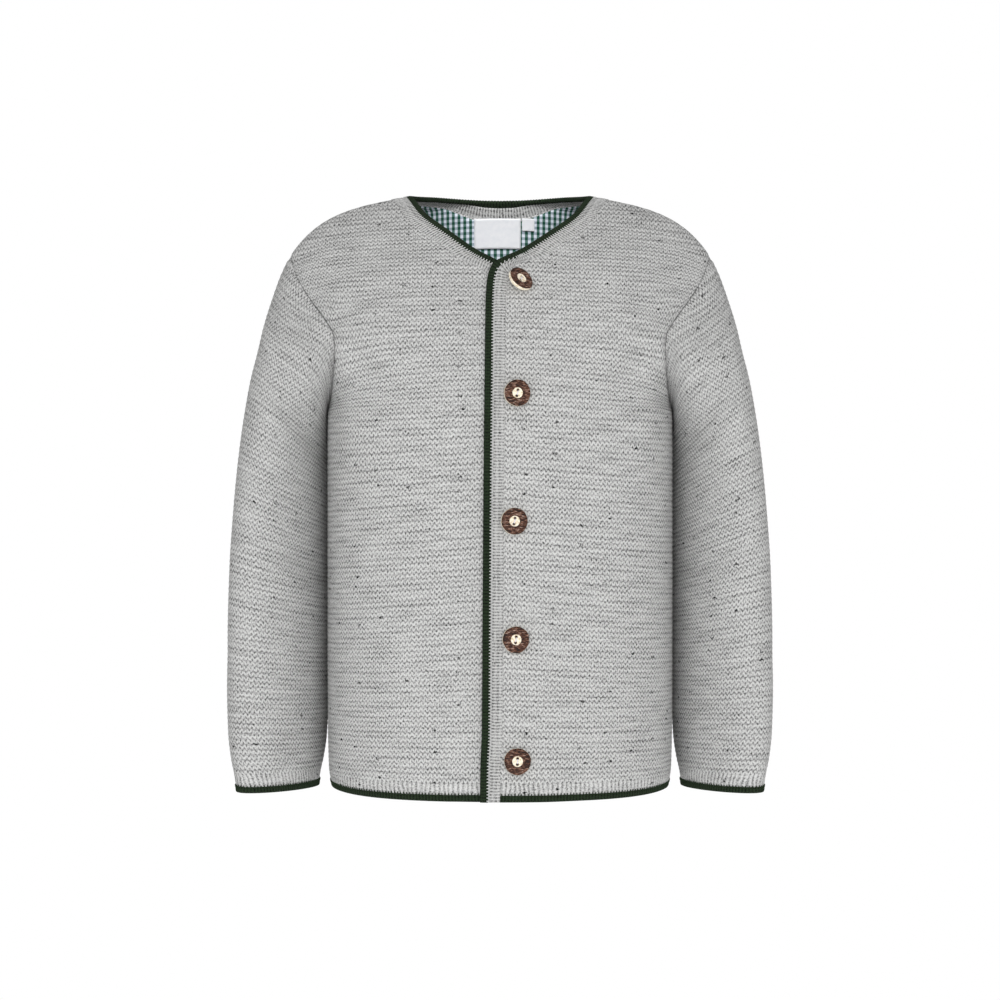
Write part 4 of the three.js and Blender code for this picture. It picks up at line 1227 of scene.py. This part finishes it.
@dataclass
class Panel:
    """A front or the back: garter knit with an upright strip at the hem."""

    name: str
    torso: Torso
    start: Callable[[Array], Array]
    lap: Callable[[Array], Array]
    is_front: bool
    columns: int
    mirrored: bool = False
    part_level: float | None = None
    row_step: float = 0.92
    yoke_step: float = 0.7

    def levels(self) -> Array:
        """Levels of the rows: even below the underarm and closer above it, in blocks of SKIP.

        Returns:
            The levels, rising.
        """
        stops = [HEM_EDGE + SEAM_GAP, UNDERARM, *([self.part_level] if self.part_level else []),
                 self.torso.top - SEAM_GAP / 2]
        steps = (self.row_step, self.yoke_step, self.yoke_step)
        runs = [np.linspace(low, high, round((high - low) / step / SKIP) * SKIP + 1)[1:]
                for low, high, step in zip(stops, stops[1:], steps)]
        return np.concatenate([stops[:1], *runs])

    def half(self) -> tuple[Array, Array, Array]:
        """The half panel's points, its directions and its places on the cloth.

        Returns:
            The points, the directions and the UV places, each rows by columns.
        """
        levels = self.levels()
        shares = np.linspace(0, 1, self.columns + 1)
        angles, u = self.torso.rows(levels, self.start(levels), shares, SEAM_GAP / 2)
        grid = np.broadcast_to(levels[:, None], angles.shape)
        base = self.torso.point(grid, angles)
        normal = cloth_way(self.torso, grid, angles)
        x = base[..., 0]
        to_side = (u[:, -1:] - u)
        fold = self.torso.fold(grid, x) * np.minimum(1, to_side / FOLD_FADE)
        base = base + normal * (self.lap(x) + fold)[..., None]
        armhole = sleeve.seam_way(levels, self.is_front)
        side = np.where((levels >= UNDERARM)[:, None], armhole, [1.0, 0.0, 0.0])
        share = (1 - smooth(to_side / SEAM_TURN))[..., None]
        way = unit(normal * (1 - share) + side[:, None, :] * share)
        part = np.abs(x) / self.torso.x_side(grid)
        return base, way, np.stack([u, self.torso.knit_level(grid, part)], axis=-1)

    def sunk(self, base: Array, part_row: int) -> Array:
        """How far the half panel sinks: less at a side seam than at the armhole above it.

        Args:
            base: The half panel's points.
            part_row: The first row whose inner end lies at a trim.

        Returns:
            The depths in millimetres.
        """
        armhole = smooth((self.levels() - UNDERARM + SEAM_TURN) / SEAM_TURN)[:, None]
        side = seam_sink(base, ((1, True, *SIDE_SEAM),)) * (LOW_SEAM + (1 - LOW_SEAM) * armhole)
        trim = seam_sink(base, ((1, False, *TRIM_SEAM),))
        trim[:part_row] = 0
        ends = seam_sink(base, ((0, True, *SHOULDER_SEAM), (0, False, *HEM_SEAM)))
        return np.maximum(np.maximum(ends, side), trim)

    def build(self, node_name: str) -> bpy.types.Object:
        """Builds the panel in place of its solid.

        Args:
            node_name: The solid it stands for.

        Returns:
            The built piece.
        """
        base, way, uv = self.half()
        part_row = int(np.searchsorted(self.levels(), self.part_level - 0.01)) if self.part_level else None
        sunk = self.sunk(base, part_row or 0)
        if self.part_level:
            sunk = np.concatenate([sunk[:, ::-1], sunk], axis=1)
            base, way, uv = (np.concatenate([(a * mirror)[:, ::-1], a], axis=1)
                             for a, mirror in ((base, MIRROR), (way, MIRROR), (uv, MIRROR[:2])))
        if self.mirrored:
            base, way, uv = base * MIRROR, way * MIRROR, uv * MIRROR[:2] + ELSEWHERE
        height = WALL / 2 - KNIT_SUNK + relief(uv[..., 0], uv[..., 1], sunk)
        outer, inner = base + way * height[..., None], base - way * WALL / 2
        mesh = knit_shell(outer, inner, uv, (SKIP, SKIP), part_row=part_row)
        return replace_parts(mesh.build(self.name, BODY_KNIT), node_name)


def section(sides: int, power: float) -> tuple[Array, Array]:
    """A rounded section: across and height from -1 to 1, a superellipse of the given power.

    Args:
        sides: Corners round it.
        power: 2 for an ellipse, more for a squarer one.

    Returns:
        Across and height of each corner.
    """
    turn = np.linspace(0, math.tau, sides, endpoint=False)
    c, s = np.cos(turn), np.sin(turn)
    return np.sign(c) * np.abs(c) ** (2 / power), np.sign(s) * np.abs(s) ** (2 / power)


@dataclass
class Trim:
    """A knitted band or edge of rounded section, with ribs across it."""

    name: str
    near: float
    far: float
    wall: float
    finish: Finish
    sides: int = 16
    power: float = 3.2
    rib: float = TRIM_RIB
    rib_height: float = 0.27
    teeth: float | None = None
    sections_per_rib: int = 4

    def build(self, place: Callable[[Array, Array], tuple[Array, Array]], params: Array,
              mirrored: bool, node_name: str, closed: bool = False) -> bpy.types.Object:
        """Carries the section along a path on the garment.

        Args:
            place: Gives points and directions from the path's parameter and the distance across.
            params: A dense run of the path's parameter, from end to end.
            mirrored: Whether the piece is the mirrored one.
            node_name: The solid it stands for.
            closed: Whether the path closes on itself.

        Returns:
            The built piece.
        """
        across, height = section(self.sides, self.power)
        middle = (self.near + self.far) / 2
        line, _ = place(params, np.full_like(params, middle))
        lengths = lengths_along(line, 0)
        count = int(lengths[-1] / self.rib * self.sections_per_rib)
        even = np.linspace(0, lengths[-1], count + 1)
        run = np.interp(even, lengths, params)
        if closed:
            run = run[:-1]
        distance = middle + across * (self.far - self.near) / 2
        grid, far = np.meshgrid(run, distance, indexing="ij")
        points, ways = place(grid.ravel(), far.ravel())
        points, ways = points.reshape(*grid.shape, 3), ways.reshape(*grid.shape, 3)
        wave = np.cos(math.tau * even[:len(run)] / self.rib)
        rise = self.rib_height * wave[:, None] * (1 - np.abs(across) ** 6)[None, :]
        half = self.wall / 2 - TRIM_SUNK + rise
        points = points + ways * (half * height)[..., None]
        if mirrored:
            points = points * MIRROR
        u = np.broadcast_to(even[:, None], (len(even), self.sides + 1))
        v = np.broadcast_to(np.append(distance, distance[0])[None, :] + TRIM_PLACE, u.shape)
        mesh = cord_mesh(points, np.stack([u, v], axis=-1), closed)
        if self.teeth is not None:
            ticks = np.arange(self.rib / 2, lengths[-1], self.rib)
            self.add_teeth(mesh, place, np.interp(ticks, lengths, params), mirrored)
        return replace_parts(mesh.build(self.name, self.finish), node_name)

    def add_teeth(self, mesh: Mesh, place: Callable, run: Array, mirrored: bool) -> None:
        """Adds the short stitches that reach over from one colour to the other, one on each rib.

        Args:
            mesh: The band's mesh.
            place: As in build.
            run: The path's parameter at each stitch.
            mirrored: Whether the piece is the mirrored one.
        """
        reach, size = np.array(TOOTH_REACH), np.array(TOOTH_SIZE)
        grid, far = np.meshgrid(run, self.teeth + reach, indexing="ij")
        middle, ways = place(grid.ravel(), far.ravel())
        middle, ways = middle.reshape(*grid.shape, 3), ways.reshape(*grid.shape, 3)
        long_way = unit(middle[:, -1:] - middle[:, :1])
        side = unit(np.cross(long_way, ways))
        turn = np.linspace(0, math.tau, TOOTH_SIDES, endpoint=False)[:, None]
        ring = np.cos(turn) * side[:, :, None] + np.sin(turn) * ways[:, :, None]
        points = (middle + ways * (EDGE_WALL / 2))[:, :, None] + ring * size[:, None, None]
        first = mesh.add_points(points * MIRROR if mirrored else points)
        starts = first + np.arange(len(run))[:, None, None] * TOOTH_SIDES * len(reach)
        corner = np.arange(TOOTH_SIDES)
        ends = np.stack([corner[::-1], corner + TOOTH_SIDES * (len(reach) - 1)])
        for faces in (tube_faces(len(reach), TOOTH_SIDES), ends):
            placed = (faces + starts).reshape(-1, faces.shape[1])
            mesh.add_faces(placed, np.broadcast_to([0.0, TRIM_PLACE], (placed.size, 2)))


def green_trim(name: str, near: float, far: float, teeth: float | None = None) -> Trim:
    """A green edge between two distances, swelling a little past them and past its wall.

    Args:
        name: The piece's name.
        near: Where it starts.
        far: Where it ends.
        teeth: Where short stitches reach over its edge, if they do.

    Returns:
        The trim, not yet built.
    """
    return Trim(name, near - GREEN_SPREAD, far + GREEN_SPREAD, EDGE_WALL + GREEN_SWELL, GREEN_KNIT,
                sides=14, power=2.6, rib=GREEN_RIB, teeth=teeth)


def grey_band(name: str) -> Trim:
    """The band beside a green edge, with short stitches that reach over it.

    Args:
        name: The piece's name.

    Returns:
        The trim, not yet built.
    """
    near = EDGE_WIDTH + SEAM_GAP / 2
    return Trim(name, near, TRIM_WIDTH + BAND_SPREAD, WALL, BAND_KNIT, power=4.5, teeth=near)


def front_place(edge: Curve, lap: Callable[[Array], Array]) -> Callable:
    """Places on a front, from a level on its free edge and a distance square to that edge.

    Args:
        edge: x of the free edge at a level.
        lap: How far the front lies off the middle surface at x.

    Returns:
        The function that gives points and directions.
    """
    def place(level: Array, distance: Array) -> tuple[Array, Array]:
        """The point and the direction there.

        Args:
            level: Levels on the free edge.
            distance: Millimetres from it.

        Returns:
            The points and the directions.
        """
        _, climb = across_edge(edge, level)
        level = level + climb * distance
        move, _ = across_edge(edge, level)
        x = edge(level) + move * distance
        angle = front.angle(level, x)
        normal = cloth_way(front, level, angle)
        return front.point(level, angle) + normal * lap(x)[..., None], normal
    return place


def on_side(sign: Array) -> Array:
    """Factors that mirror points or directions where a value is negative."""
    return np.where((sign < 0)[..., None], MIRROR, 1.0)


def neck_place(tick: Array, distance: Array) -> tuple[Array, Array]:
    """Places round the back neck: a signed x on the neckline and a distance from it.

    Args:
        tick: x on the neckline, negative on the right.
        distance: Millimetres from the edge.

    Returns:
        The points and the directions there.
    """
    level, x = neck_trim(np.abs(tick), distance)
    level = np.minimum(level, BACK_TOP - SEAM_GAP / 2)
    angle = back.angle(level, x)
    return back.point(level, angle) * on_side(tick), cloth_way(back, level, angle) * on_side(tick)


def hem_place(torso: Torso, start: Callable[[Array], Array], lap: Callable[[Array], Array]) -> Callable:
    """Places along the hem: a share of the row from its start to the side, and a level.

    Args:
        torso: The front or the back.
        start: x of the row's first point at a level.
        lap: How far the cloth lies off the middle surface at x.

    Returns:
        The function that gives points and directions.
    """
    table = np.linspace(0, 1, 161)
    rows = np.linspace(0, HEM_EDGE, 9)
    angles, _ = torso.rows(rows, start(rows), table, SEAM_GAP / 2)

    def place(share: Array, level: Array) -> tuple[Array, Array]:
        """The point and the direction there, with the row's angle read from its table.

        Args:
            share: Shares of the row, negative on the right.
            level: Levels, from 0 to the hem edge's top.

        Returns:
            The points and the directions.
        """
        spot = np.clip(level / HEM_EDGE, 0, 1) * (len(rows) - 1)
        low = np.minimum(spot.astype(int), len(rows) - 2)
        column = np.abs(share) * (len(table) - 1)
        left = np.minimum(column.astype(int), len(table) - 2)
        s, t = spot - low, column - left
        angle = ((angles[low, left] * (1 - t) + angles[low, left + 1] * t) * (1 - s)
                 + (angles[low + 1, left] * (1 - t) + angles[low + 1, left + 1] * t) * s)
        base, normal = torso.point(level, angle), torso.normal(level, angle)
        to_side = smooth((np.abs(share) - HEM_TURN) / (1 - HEM_TURN))[..., None]
        normal = unit(normal * (1 - to_side) + np.array([1.0, 0.0, 0.0]) * to_side)
        return (base + normal * lap(base[..., 0])[..., None]) * on_side(share), normal * on_side(share)
    return place


@dataclass
class Body:
    """The fronts and the back with their bands and green edges."""

    front_columns: int = 132
    back_columns: int = 84

    def start(self, edge: Curve) -> Callable[[Array], Array]:
        """Where a front's panel begins: the inner edge of its band."""
        return lambda level: edge(level) + across_edge(edge, level)[0] * TRIM_END

    def neck_start(self) -> Callable[[Array], Array]:
        """Where the back's rows begin: x = 0 below the neck, else the band's inner edge."""
        levels, xs = band_line()
        return lambda level: np.where(level <= levels[0], 0.0, np.interp(level, levels, xs))

    def build_fronts(self) -> None:
        """Builds both fronts with their trims."""
        for side, edge, lap, mirrored in (
            ("left", over_edge, over_lap, False), ("right", under_edge, under_lap, True),
        ):
            start = self.start(edge)
            panel = Panel(f"front_{side}_knit", front, start, lap, True, self.front_columns, mirrored)
            cloth = panel.build(f"front_{side}")
            place = front_place(edge, lap)
            # The path's table is closer where the edge turns into the neckline
            levels = np.concatenate([np.linspace(0, NECK_START, 200),
                                     np.linspace(NECK_START, FRONT_TOP - SEAM_GAP / 2, 400)[1:]])
            green = green_trim(f"front_edge_{side}_knit", 0, EDGE_WIDTH)
            band = grey_band(f"front_band_{side}_knit")
            hem = green_trim(f"hem_edge_{side}_knit", 0, HEM_EDGE, HEM_EDGE + TOOTH_IN)
            extra = [
                green.build(place, levels, mirrored, f"front_edge_{side}"),
                band.build(place, levels, mirrored, f"front_band_{side}"),
                hem.build(hem_place(front, start, lap), np.linspace(0, 1, 200), mirrored,
                          f"hem_edge_{side}"),
            ]

    def build_back(self) -> None:
        """Builds the back with its hem, neck edge and neck band."""
        neck_level = float(neck_trim(np.array(0.0), np.array(TRIM_END))[0])
        panel = Panel("back_knit", back, self.neck_start(), no_lap, False, self.back_columns,
                      part_level=neck_level, row_step=1.1, yoke_step=0.95)
        cloth = panel.build("back")
        ticks = np.linspace(-NECK_HALF_WIDTH, NECK_HALF_WIDTH, 401)
        green = green_trim("neck_edge_knit", 0, EDGE_WIDTH)
        band = grey_band("neck_band_knit")
        hem = green_trim("hem_edge_back_knit", 0, HEM_EDGE, HEM_EDGE + TOOTH_IN)
        extra = [
            green.build(neck_place, ticks, False, "neck_edge"),
            band.build(neck_place, ticks, False, "neck_band"),
            hem.build(hem_place(back, lambda level: np.zeros_like(level), no_lap),
                      np.linspace(-1, 1, 401), False, "hem_edge_back"),
        ]


@dataclass
class Sleeves:
    """The two sleeves with their cuff edges."""

    rows: int = 516
    columns: int = 120
    column_skip: int = 5
    # A row's height up the arm is its run, but for this share of its own distance to the cuff
    slant: float = 0.35
    seam_turn: float = 8.0
    fold_fade: float = 12.0

    def place(self, turn: Array, run: Array) -> tuple[Array, Array]:
        """Points and directions on the left sleeve."""
        run, turn = np.asarray(run, float), np.asarray(turn, float)
        return sleeve.point(run, turn), sleeve.way(run, turn)

    def build(self) -> None:
        """Builds both sleeves."""
        runs = np.linspace(SEAM_GAP, SLEEVE_END - CUFF_EDGE - SEAM_GAP, self.rows + 1)
        turns = np.linspace(0, math.tau, self.columns, endpoint=False)
        run, turn = np.meshgrid(runs, turns, indexing="ij")
        way = sleeve.way(run, turn)
        share = (1 - smooth(run / self.seam_turn))[..., None]
        way = unit(way * (1 - share) + sleeve.along_turn(sleeve.seam_ways, turn) * share)
        fold = sleeve.fold(run, turn) * smooth(run / self.fold_fade)
        base = sleeve.point(run, turn) + way * fold[..., None]
        to_cuff = lengths_along(base[::-1], 0)[::-1]
        v = CUFF_EDGE + (SLEEVE_END - CUFF_EDGE - run) * (1 - self.slant) + to_cuff * self.slant
        around = lengths_along(np.concatenate([base, base[:, :1]], axis=1), 1)
        u = around - around[:, -1:] / 2
        uv = np.stack([u, np.concatenate([v, v[:, :1]], axis=1)], axis=-1)
        sunk = seam_sink(base, ((0, False, *ARMHOLE_SEAM), (0, True, *CUFF_SEAM)))
        height = WALL / 2 - KNIT_SUNK + relief(u[:, :-1], v, sunk, SLEEVE_KNIT.pitch)
        ring = np.linspace(0, math.tau, 361)
        outer, inner = base + way * height[..., None], base - way * WALL / 2
        for side, mirrored in (("left", False), ("right", True)):
            turned = MIRROR if mirrored else np.ones(3)
            places = uv * MIRROR[:2] + ELSEWHERE if mirrored else uv
            mesh = knit_shell(outer * turned, inner * turned, places, (SKIP, self.column_skip), True)
            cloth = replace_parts(mesh.build(f"sleeve_{side}_knit", SLEEVE_KNIT), f"sleeve_{side}")
            top = SLEEVE_END - CUFF_EDGE
            cuff = green_trim(f"cuff_edge_{side}_knit", top, SLEEVE_END, top - TOOTH_IN)
            trim = cuff.build(self.place, ring, mirrored, f"cuff_edge_{side}", closed=True)


@dataclass
class NeckInside:
    """The gingham facing inside the back neck and its two bare labels."""

    half_width: float = 92.0
    depth: float = 64.0
    tip: float = 4.0
    curve: float = 2.6
    main_label: tuple[float, float, float, float] = (-19.5, 15.6, 406.0, 432.0)
    size_label: tuple[float, float, float, float] = (16.6, 26.0, 421.5, 432.5)

    def patch(self, name: str, xs: Array, edges: tuple[Array, Array], rows: int, wall: float,
              depth: float, finish: Finish) -> bpy.types.Object:
        """A thin shell on the inside of the back.

        Args:
            name: The solid that it stands for.
            xs: Its columns.
            edges: The levels of its bottom and top edge at each column.
            rows: How many rows it has.
            wall: Its thickness.
            depth: How far its middle lies inside the back's middle surface.
            finish: Its finish.

        Returns:
            The built piece.
        """
        bottom, top = edges
        share = np.linspace(0, 1, rows + 1)[:, None]
        level = bottom[None, :] + (top - bottom)[None, :] * share
        angle = back.angle(level, np.broadcast_to(xs, level.shape))
        way = back.normal(level, angle)
        base = back.point(level, angle) - way * depth
        u = lengths_along(base, 1)
        u = u - u[:, len(xs) // 2][:, None]
        uv = np.stack([u, level], axis=-1)
        mesh = knit_shell(base - way * wall / 2, base + way * wall / 2, uv, (2, 2))
        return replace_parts(mesh.build(f"{name}_cloth", finish), name)

    def build(self) -> None:
        """Builds the facing and the labels."""
        # The facing's top follows the band's inner edge, 1 mm below it, and stops short of the shoulder
        levels, places = band_line()
        top_level = BACK_TOP - 2
        xs = np.linspace(-self.half_width, self.half_width, 81)
        top = np.minimum(np.interp(np.abs(xs), places, levels), top_level) - 1
        top = np.where(np.abs(xs) > places[-1], top_level - 1, top)
        lowest = levels[0] - self.depth
        bottom = lowest + (top_level - lowest) * (np.abs(xs) / (self.half_width + self.tip)) ** self.curve
        depth = WALL / 2 + INSIDE_SLACK + FACING_WALL / 2
        facing = self.patch("neck_facing", xs, (bottom, top), 24, FACING_WALL, depth, GINGHAM)
        depth += FACING_WALL / 2 + INSIDE_SLACK + LABEL_WALL / 2
        for name, place in (("main_label", self.main_label), ("size_label", self.size_label)):
            left, right, low, high = place
            xs = np.linspace(left, right, 21)
            edges = np.full_like(xs, low), np.full_like(xs, high)
            self.patch(name, xs, edges, 16, LABEL_WALL, depth, LABEL)
        left, right, low, high = self.main_label


@dataclass
class Buttons:
    """Five two-hole buttons cut from antler: dark rind, cream core and side, thread through."""

    radius: float = 9.4
    thickness: float = 3.2
    bevel: float = 0.6
    core: float = 3.7
    hole: float = 0.8
    spacing: float = 4.1
    hole_depth: float = 2.2
    hole_wall: float = 0.3
    dish_depth: float = 0.64
    dish_rise: float = 0.1
    stitch_sunk: float = 0.6
    stitch_share: float = 0.8
    stitch_arch: float = 0.35
    thread: float = 0.36
    shank: float = 1.0
    around: int = 72

    def seat(self, spec: tuple) -> tuple[Array, Array, Array]:
        """Finds where a button sits, by halving the front's levels until the height is right.

        Args:
            spec: x, z, lift over the cloth and the way the face points.

        Returns:
            The middle of the button's back, the way it faces and the cloth's direction.
        """
        x, z, lift, face = spec
        low, high = 0.0, FRONT_TOP
        for _ in range(40):
            middle = (low + high) / 2
            if front.point(middle, front.angle(middle, x))[2] < z:
                low = middle
            else:
                high = middle
        angle = front.angle(low, x)
        normal = front.normal(np.array(low), np.array(angle))
        cloth = front.point(low, angle) + normal * (float(over_lap(np.array(x))) + WALL / 2)
        forward = unit(np.array(face, float))
        return cloth + normal * (SEAM_GAP + lift), forward, normal

    def disc(self) -> tuple[Array, Array]:
        """Profile of the disc: radius and height, from the back's middle to the face's middle.

        Back and side are plain; the rind is a raised ring and the core lies in a shallow dish.

        Returns:
            The radii and the heights.
        """
        r, t, b = self.radius, self.thickness, self.bevel
        rows = np.array([
            (0.02, 0.0), (r * 0.5, 0.0), (r - b * 1.4, 0.0), (r - b * 0.5, 0.12), (r - 0.1, b * 0.7),
            (r, b * 1.4), (r, t - b * 1.6), (r - 0.08, t - b), (r - 0.3, t - b * 0.45), (r - 0.8, t - 0.1),
            (r - 1.6, t), (r * 0.72, t + 0.04), (self.core + 1.3, t), (self.core + 0.5, t - 0.12),
            (self.core, t - 0.38), (self.core - 0.3, t - 0.5),
        ])
        inside = np.linspace(self.core - 0.5, 0.02, 22)
        dish = t - self.dish_depth + self.dish_rise * (inside / self.core) ** 4
        return np.append(rows[:, 0], inside), np.append(rows[:, 1], dish)

    def pits(self, x: Array, y: Array) -> Array:
        """Depth of the two holes at places on the face: flat inside, with a steep wall.

        Args:
            x: Places across the face.
            y: Places along the line of the holes.

        Returns:
            The depths.
        """
        away = np.hypot(x, np.abs(y) - self.spacing / 2)
        return self.hole_depth * smooth((self.hole + self.hole_wall - away) / self.hole_wall)

    def build(self) -> None:
        """Builds each button and its thread."""
        radii, heights = self.disc()
        turn = np.linspace(0, math.tau, self.around, endpoint=False)
        for number, spec in enumerate(BUTTONS, start=1):
            seat, forward, normal = self.seat(spec)
            turned = np.array(Vector((0, 0, 1)).rotation_difference(Vector(forward)).to_matrix())
            wobble = 1 + 0.012 * np.cos(3 * turn + number) + 0.008 * np.cos(7 * turn + 2 * number)
            ring = radii[:, None] * wobble[None, :]
            rough = 0.09 * np.sin(9 * turn + number)[None, :] * bell((radii[:, None] - 6.8) / 1.6)
            rough = rough * (heights[:, None] > self.thickness * 0.8)
            x, y = ring * np.cos(turn), ring * np.sin(turn)
            pit = self.pits(x, y) * (heights[:, None] > self.thickness / 2)
            points = np.stack([x, y, heights[:, None] + rough - pit], axis=-1)
            points = points @ turned.T + seat
            mesh = Mesh()
            mesh.add_points(points)
            faces = tube_faces(len(radii), self.around)
            mesh.add_faces(faces, np.zeros((len(faces) * 4, 2)))
            last = (len(radii) - 1) * self.around
            ends = [list(range(self.around))[::-1], list(range(last, last + self.around))]
            mesh.add_faces(ends, np.zeros((2 * self.around, 2)))
            piece = mesh.build(f"button_{number}_antler", BARK)
            piece.data.materials.append(BONE.material())
            row = np.arange(len(faces)) // self.around
            high = (heights[row] + heights[row + 1]) / 2 > self.thickness - self.bevel * 0.8
            outside = (radii[row] + radii[row + 1]) / 2 > self.core + 0.2
            deep = pit.ravel()[faces].mean(axis=1) > 0.9
            index = np.concatenate([np.where((high & outside) | deep, 0, 1), [1, 1]]).astype(np.int32)
            piece.data.polygons.foreach_set("material_index", index)
            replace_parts(piece, f"button_{number}")
            self.sew(number, seat, forward, normal, turned)

    def sew(self, number: int, seat: Array, forward: Array, normal: Array, turned: Array) -> None:
        """Adds the stitch between the two holes and the shank behind.

        Args:
            number: The button's number.
            seat: The middle of its back.
            forward: The way it faces.
            normal: The cloth's direction there.
            turned: The button's rotation.
        """
        face = seat + forward * (self.thickness - self.stitch_sunk)
        half = unit(turned @ np.array([0.1, 1.0, 0.0])) * self.spacing / 2 * self.stitch_share
        root = seat - normal * (2 * LAP - SEAM_GAP)
        for name, radius, a, b in (
            ("stitch", self.thread, face - half, face + half),
            ("shank", self.shank, root, seat - forward * SEAM_GAP),
        ):
            path = np.linspace(0, 1, 9)[:, None]
            arch = np.sin(math.pi * path) * self.stitch_arch * forward if name == "stitch" else 0
            line = a + (b - a) * path + arch
            along = unit(b - a)
            side = unit(np.cross(along, [0.3, 0.1, 1.0]))
            up = np.cross(along, side)
            turn = np.linspace(0, math.tau, 10, endpoint=False)[:, None]
            ring = np.cos(turn) * side + np.sin(turn) * up
            points = line[:, None, :] + radius * ring[None, :, :]
            mesh = cord_mesh(points, np.zeros((9, 11, 2)))
            piece = mesh.build(f"button_{name}_{number}", THREAD)
            if name == "shank":
                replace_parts(piece, f"button_thread_{number}")


@dataclass
class Studio:
    """The pale floor, the soft lights and the camera at the photograph's place."""

    camera_place: tuple[float, float, float] = (0.0, -2.088, -0.2211)
    lens: float = 102.9
    floor: float = -1.1
    size: float = 5.2

    def build(self) -> None:
        """Builds floor, lights, world and camera."""
        bpy.context.scene.view_settings.view_transform = "Standard"
        self.ground()
        self.world()
        for name, place, power, width in (
            ("front", (0.0, -3.2, 0.4), 28.0, 1.4), ("left", (-1.3, -2.9, 0.3), 16.0, 1.8),
            ("right", (1.3, -2.9, 0.3), 16.0, 1.8),
        ):
            light = bpy.data.lights.new(name, "AREA")
            light.energy, light.size = power, width
            self.lamp(light, place, (0.0, 0.0, -0.2))
        # A narrow light reaches through the neck opening to the facing and the labels
        snoot = bpy.data.lights.new("neck", "SPOT")
        snoot.energy, snoot.spot_size, snoot.spot_blend, snoot.shadow_soft_size = 66.0, 0.07, 0.6, 0.03
        self.lamp(snoot, (0.0, -1.5, 0.54), (0.0, 0.078, -0.03))
        camera = bpy.data.cameras.new("camera")
        camera.lens, camera.sensor_width = self.lens, 36.0
        eye = bpy.data.objects.new("camera", camera)
        eye.location = self.camera_place
        eye.rotation_euler = (math.pi / 2, 0, 0)
        bpy.context.scene.collection.objects.link(eye)
        bpy.context.scene.camera = eye

    def lamp(self, light: bpy.types.Light, place: tuple, target: tuple) -> None:
        """Hangs a light at a place, aimed at a target.

        Args:
            light: The light's data.
            place: Where it hangs, in metres.
            target: What it is aimed at.
        """
        lamp = bpy.data.objects.new(light.name, light)
        lamp.location = place
        lamp.rotation_euler = (Vector(target) - Vector(place)).to_track_quat("-Z", "Y").to_euler()
        bpy.context.scene.collection.objects.link(lamp)

    def ground(self) -> None:
        """The floor, a wide pale sheet that glows faintly."""
        floor = bpy.data.meshes.new("floor")
        half = self.size / 2
        corners = [(x * half, y * half, self.floor) for x, y in ((-1, -1), (1, -1), (1, 1), (-1, 1))]
        floor.from_pydata(corners, [], [(0, 1, 2, 3)])
        ground = bpy.data.objects.new("floor", floor)
        material = bpy.data.materials.new("pale lit floor")
        material.use_nodes = True
        shader = material.node_tree.nodes["Principled BSDF"]
        shader.inputs["Base Color"].default_value = linear("fbfbfb")
        shader.inputs["Roughness"].default_value = 0.9
        shader.inputs["Emission Color"].default_value = linear("ffffff")
        shader.inputs["Emission Strength"].default_value = 0.3
        floor.materials.append(material)
        bpy.context.scene.collection.objects.link(ground)

    def world(self) -> None:
        """White all round, dimmer as a light than as a background."""
        world = bpy.data.worlds.new("studio")
        bpy.context.scene.world = world
        world.use_nodes = True
        tree = world.node_tree
        tree.nodes.clear()
        seen = node(tree, "LightPath").node.outputs["Is Camera Ray"]
        strength = node(tree, "MapRange", in_0=seen, in_3=0.56, in_4=1.0)
        sky = node(tree, "Background", Color=(1.0, 1.0, 1.0, 1.0), Strength=strength)
        node(tree, "OutputWorld", Surface=sky)


def main() -> None:
    """Builds the garment piece by piece."""
    logging.basicConfig(level=logging.INFO, format="%(name)s: %(message)s")
    Studio().build()
    Body().build_fronts()
    Body().build_back()
    Sleeves().build()
    NeckInside().build()
    Buttons().build()


if __name__ == "__main__":
    main()
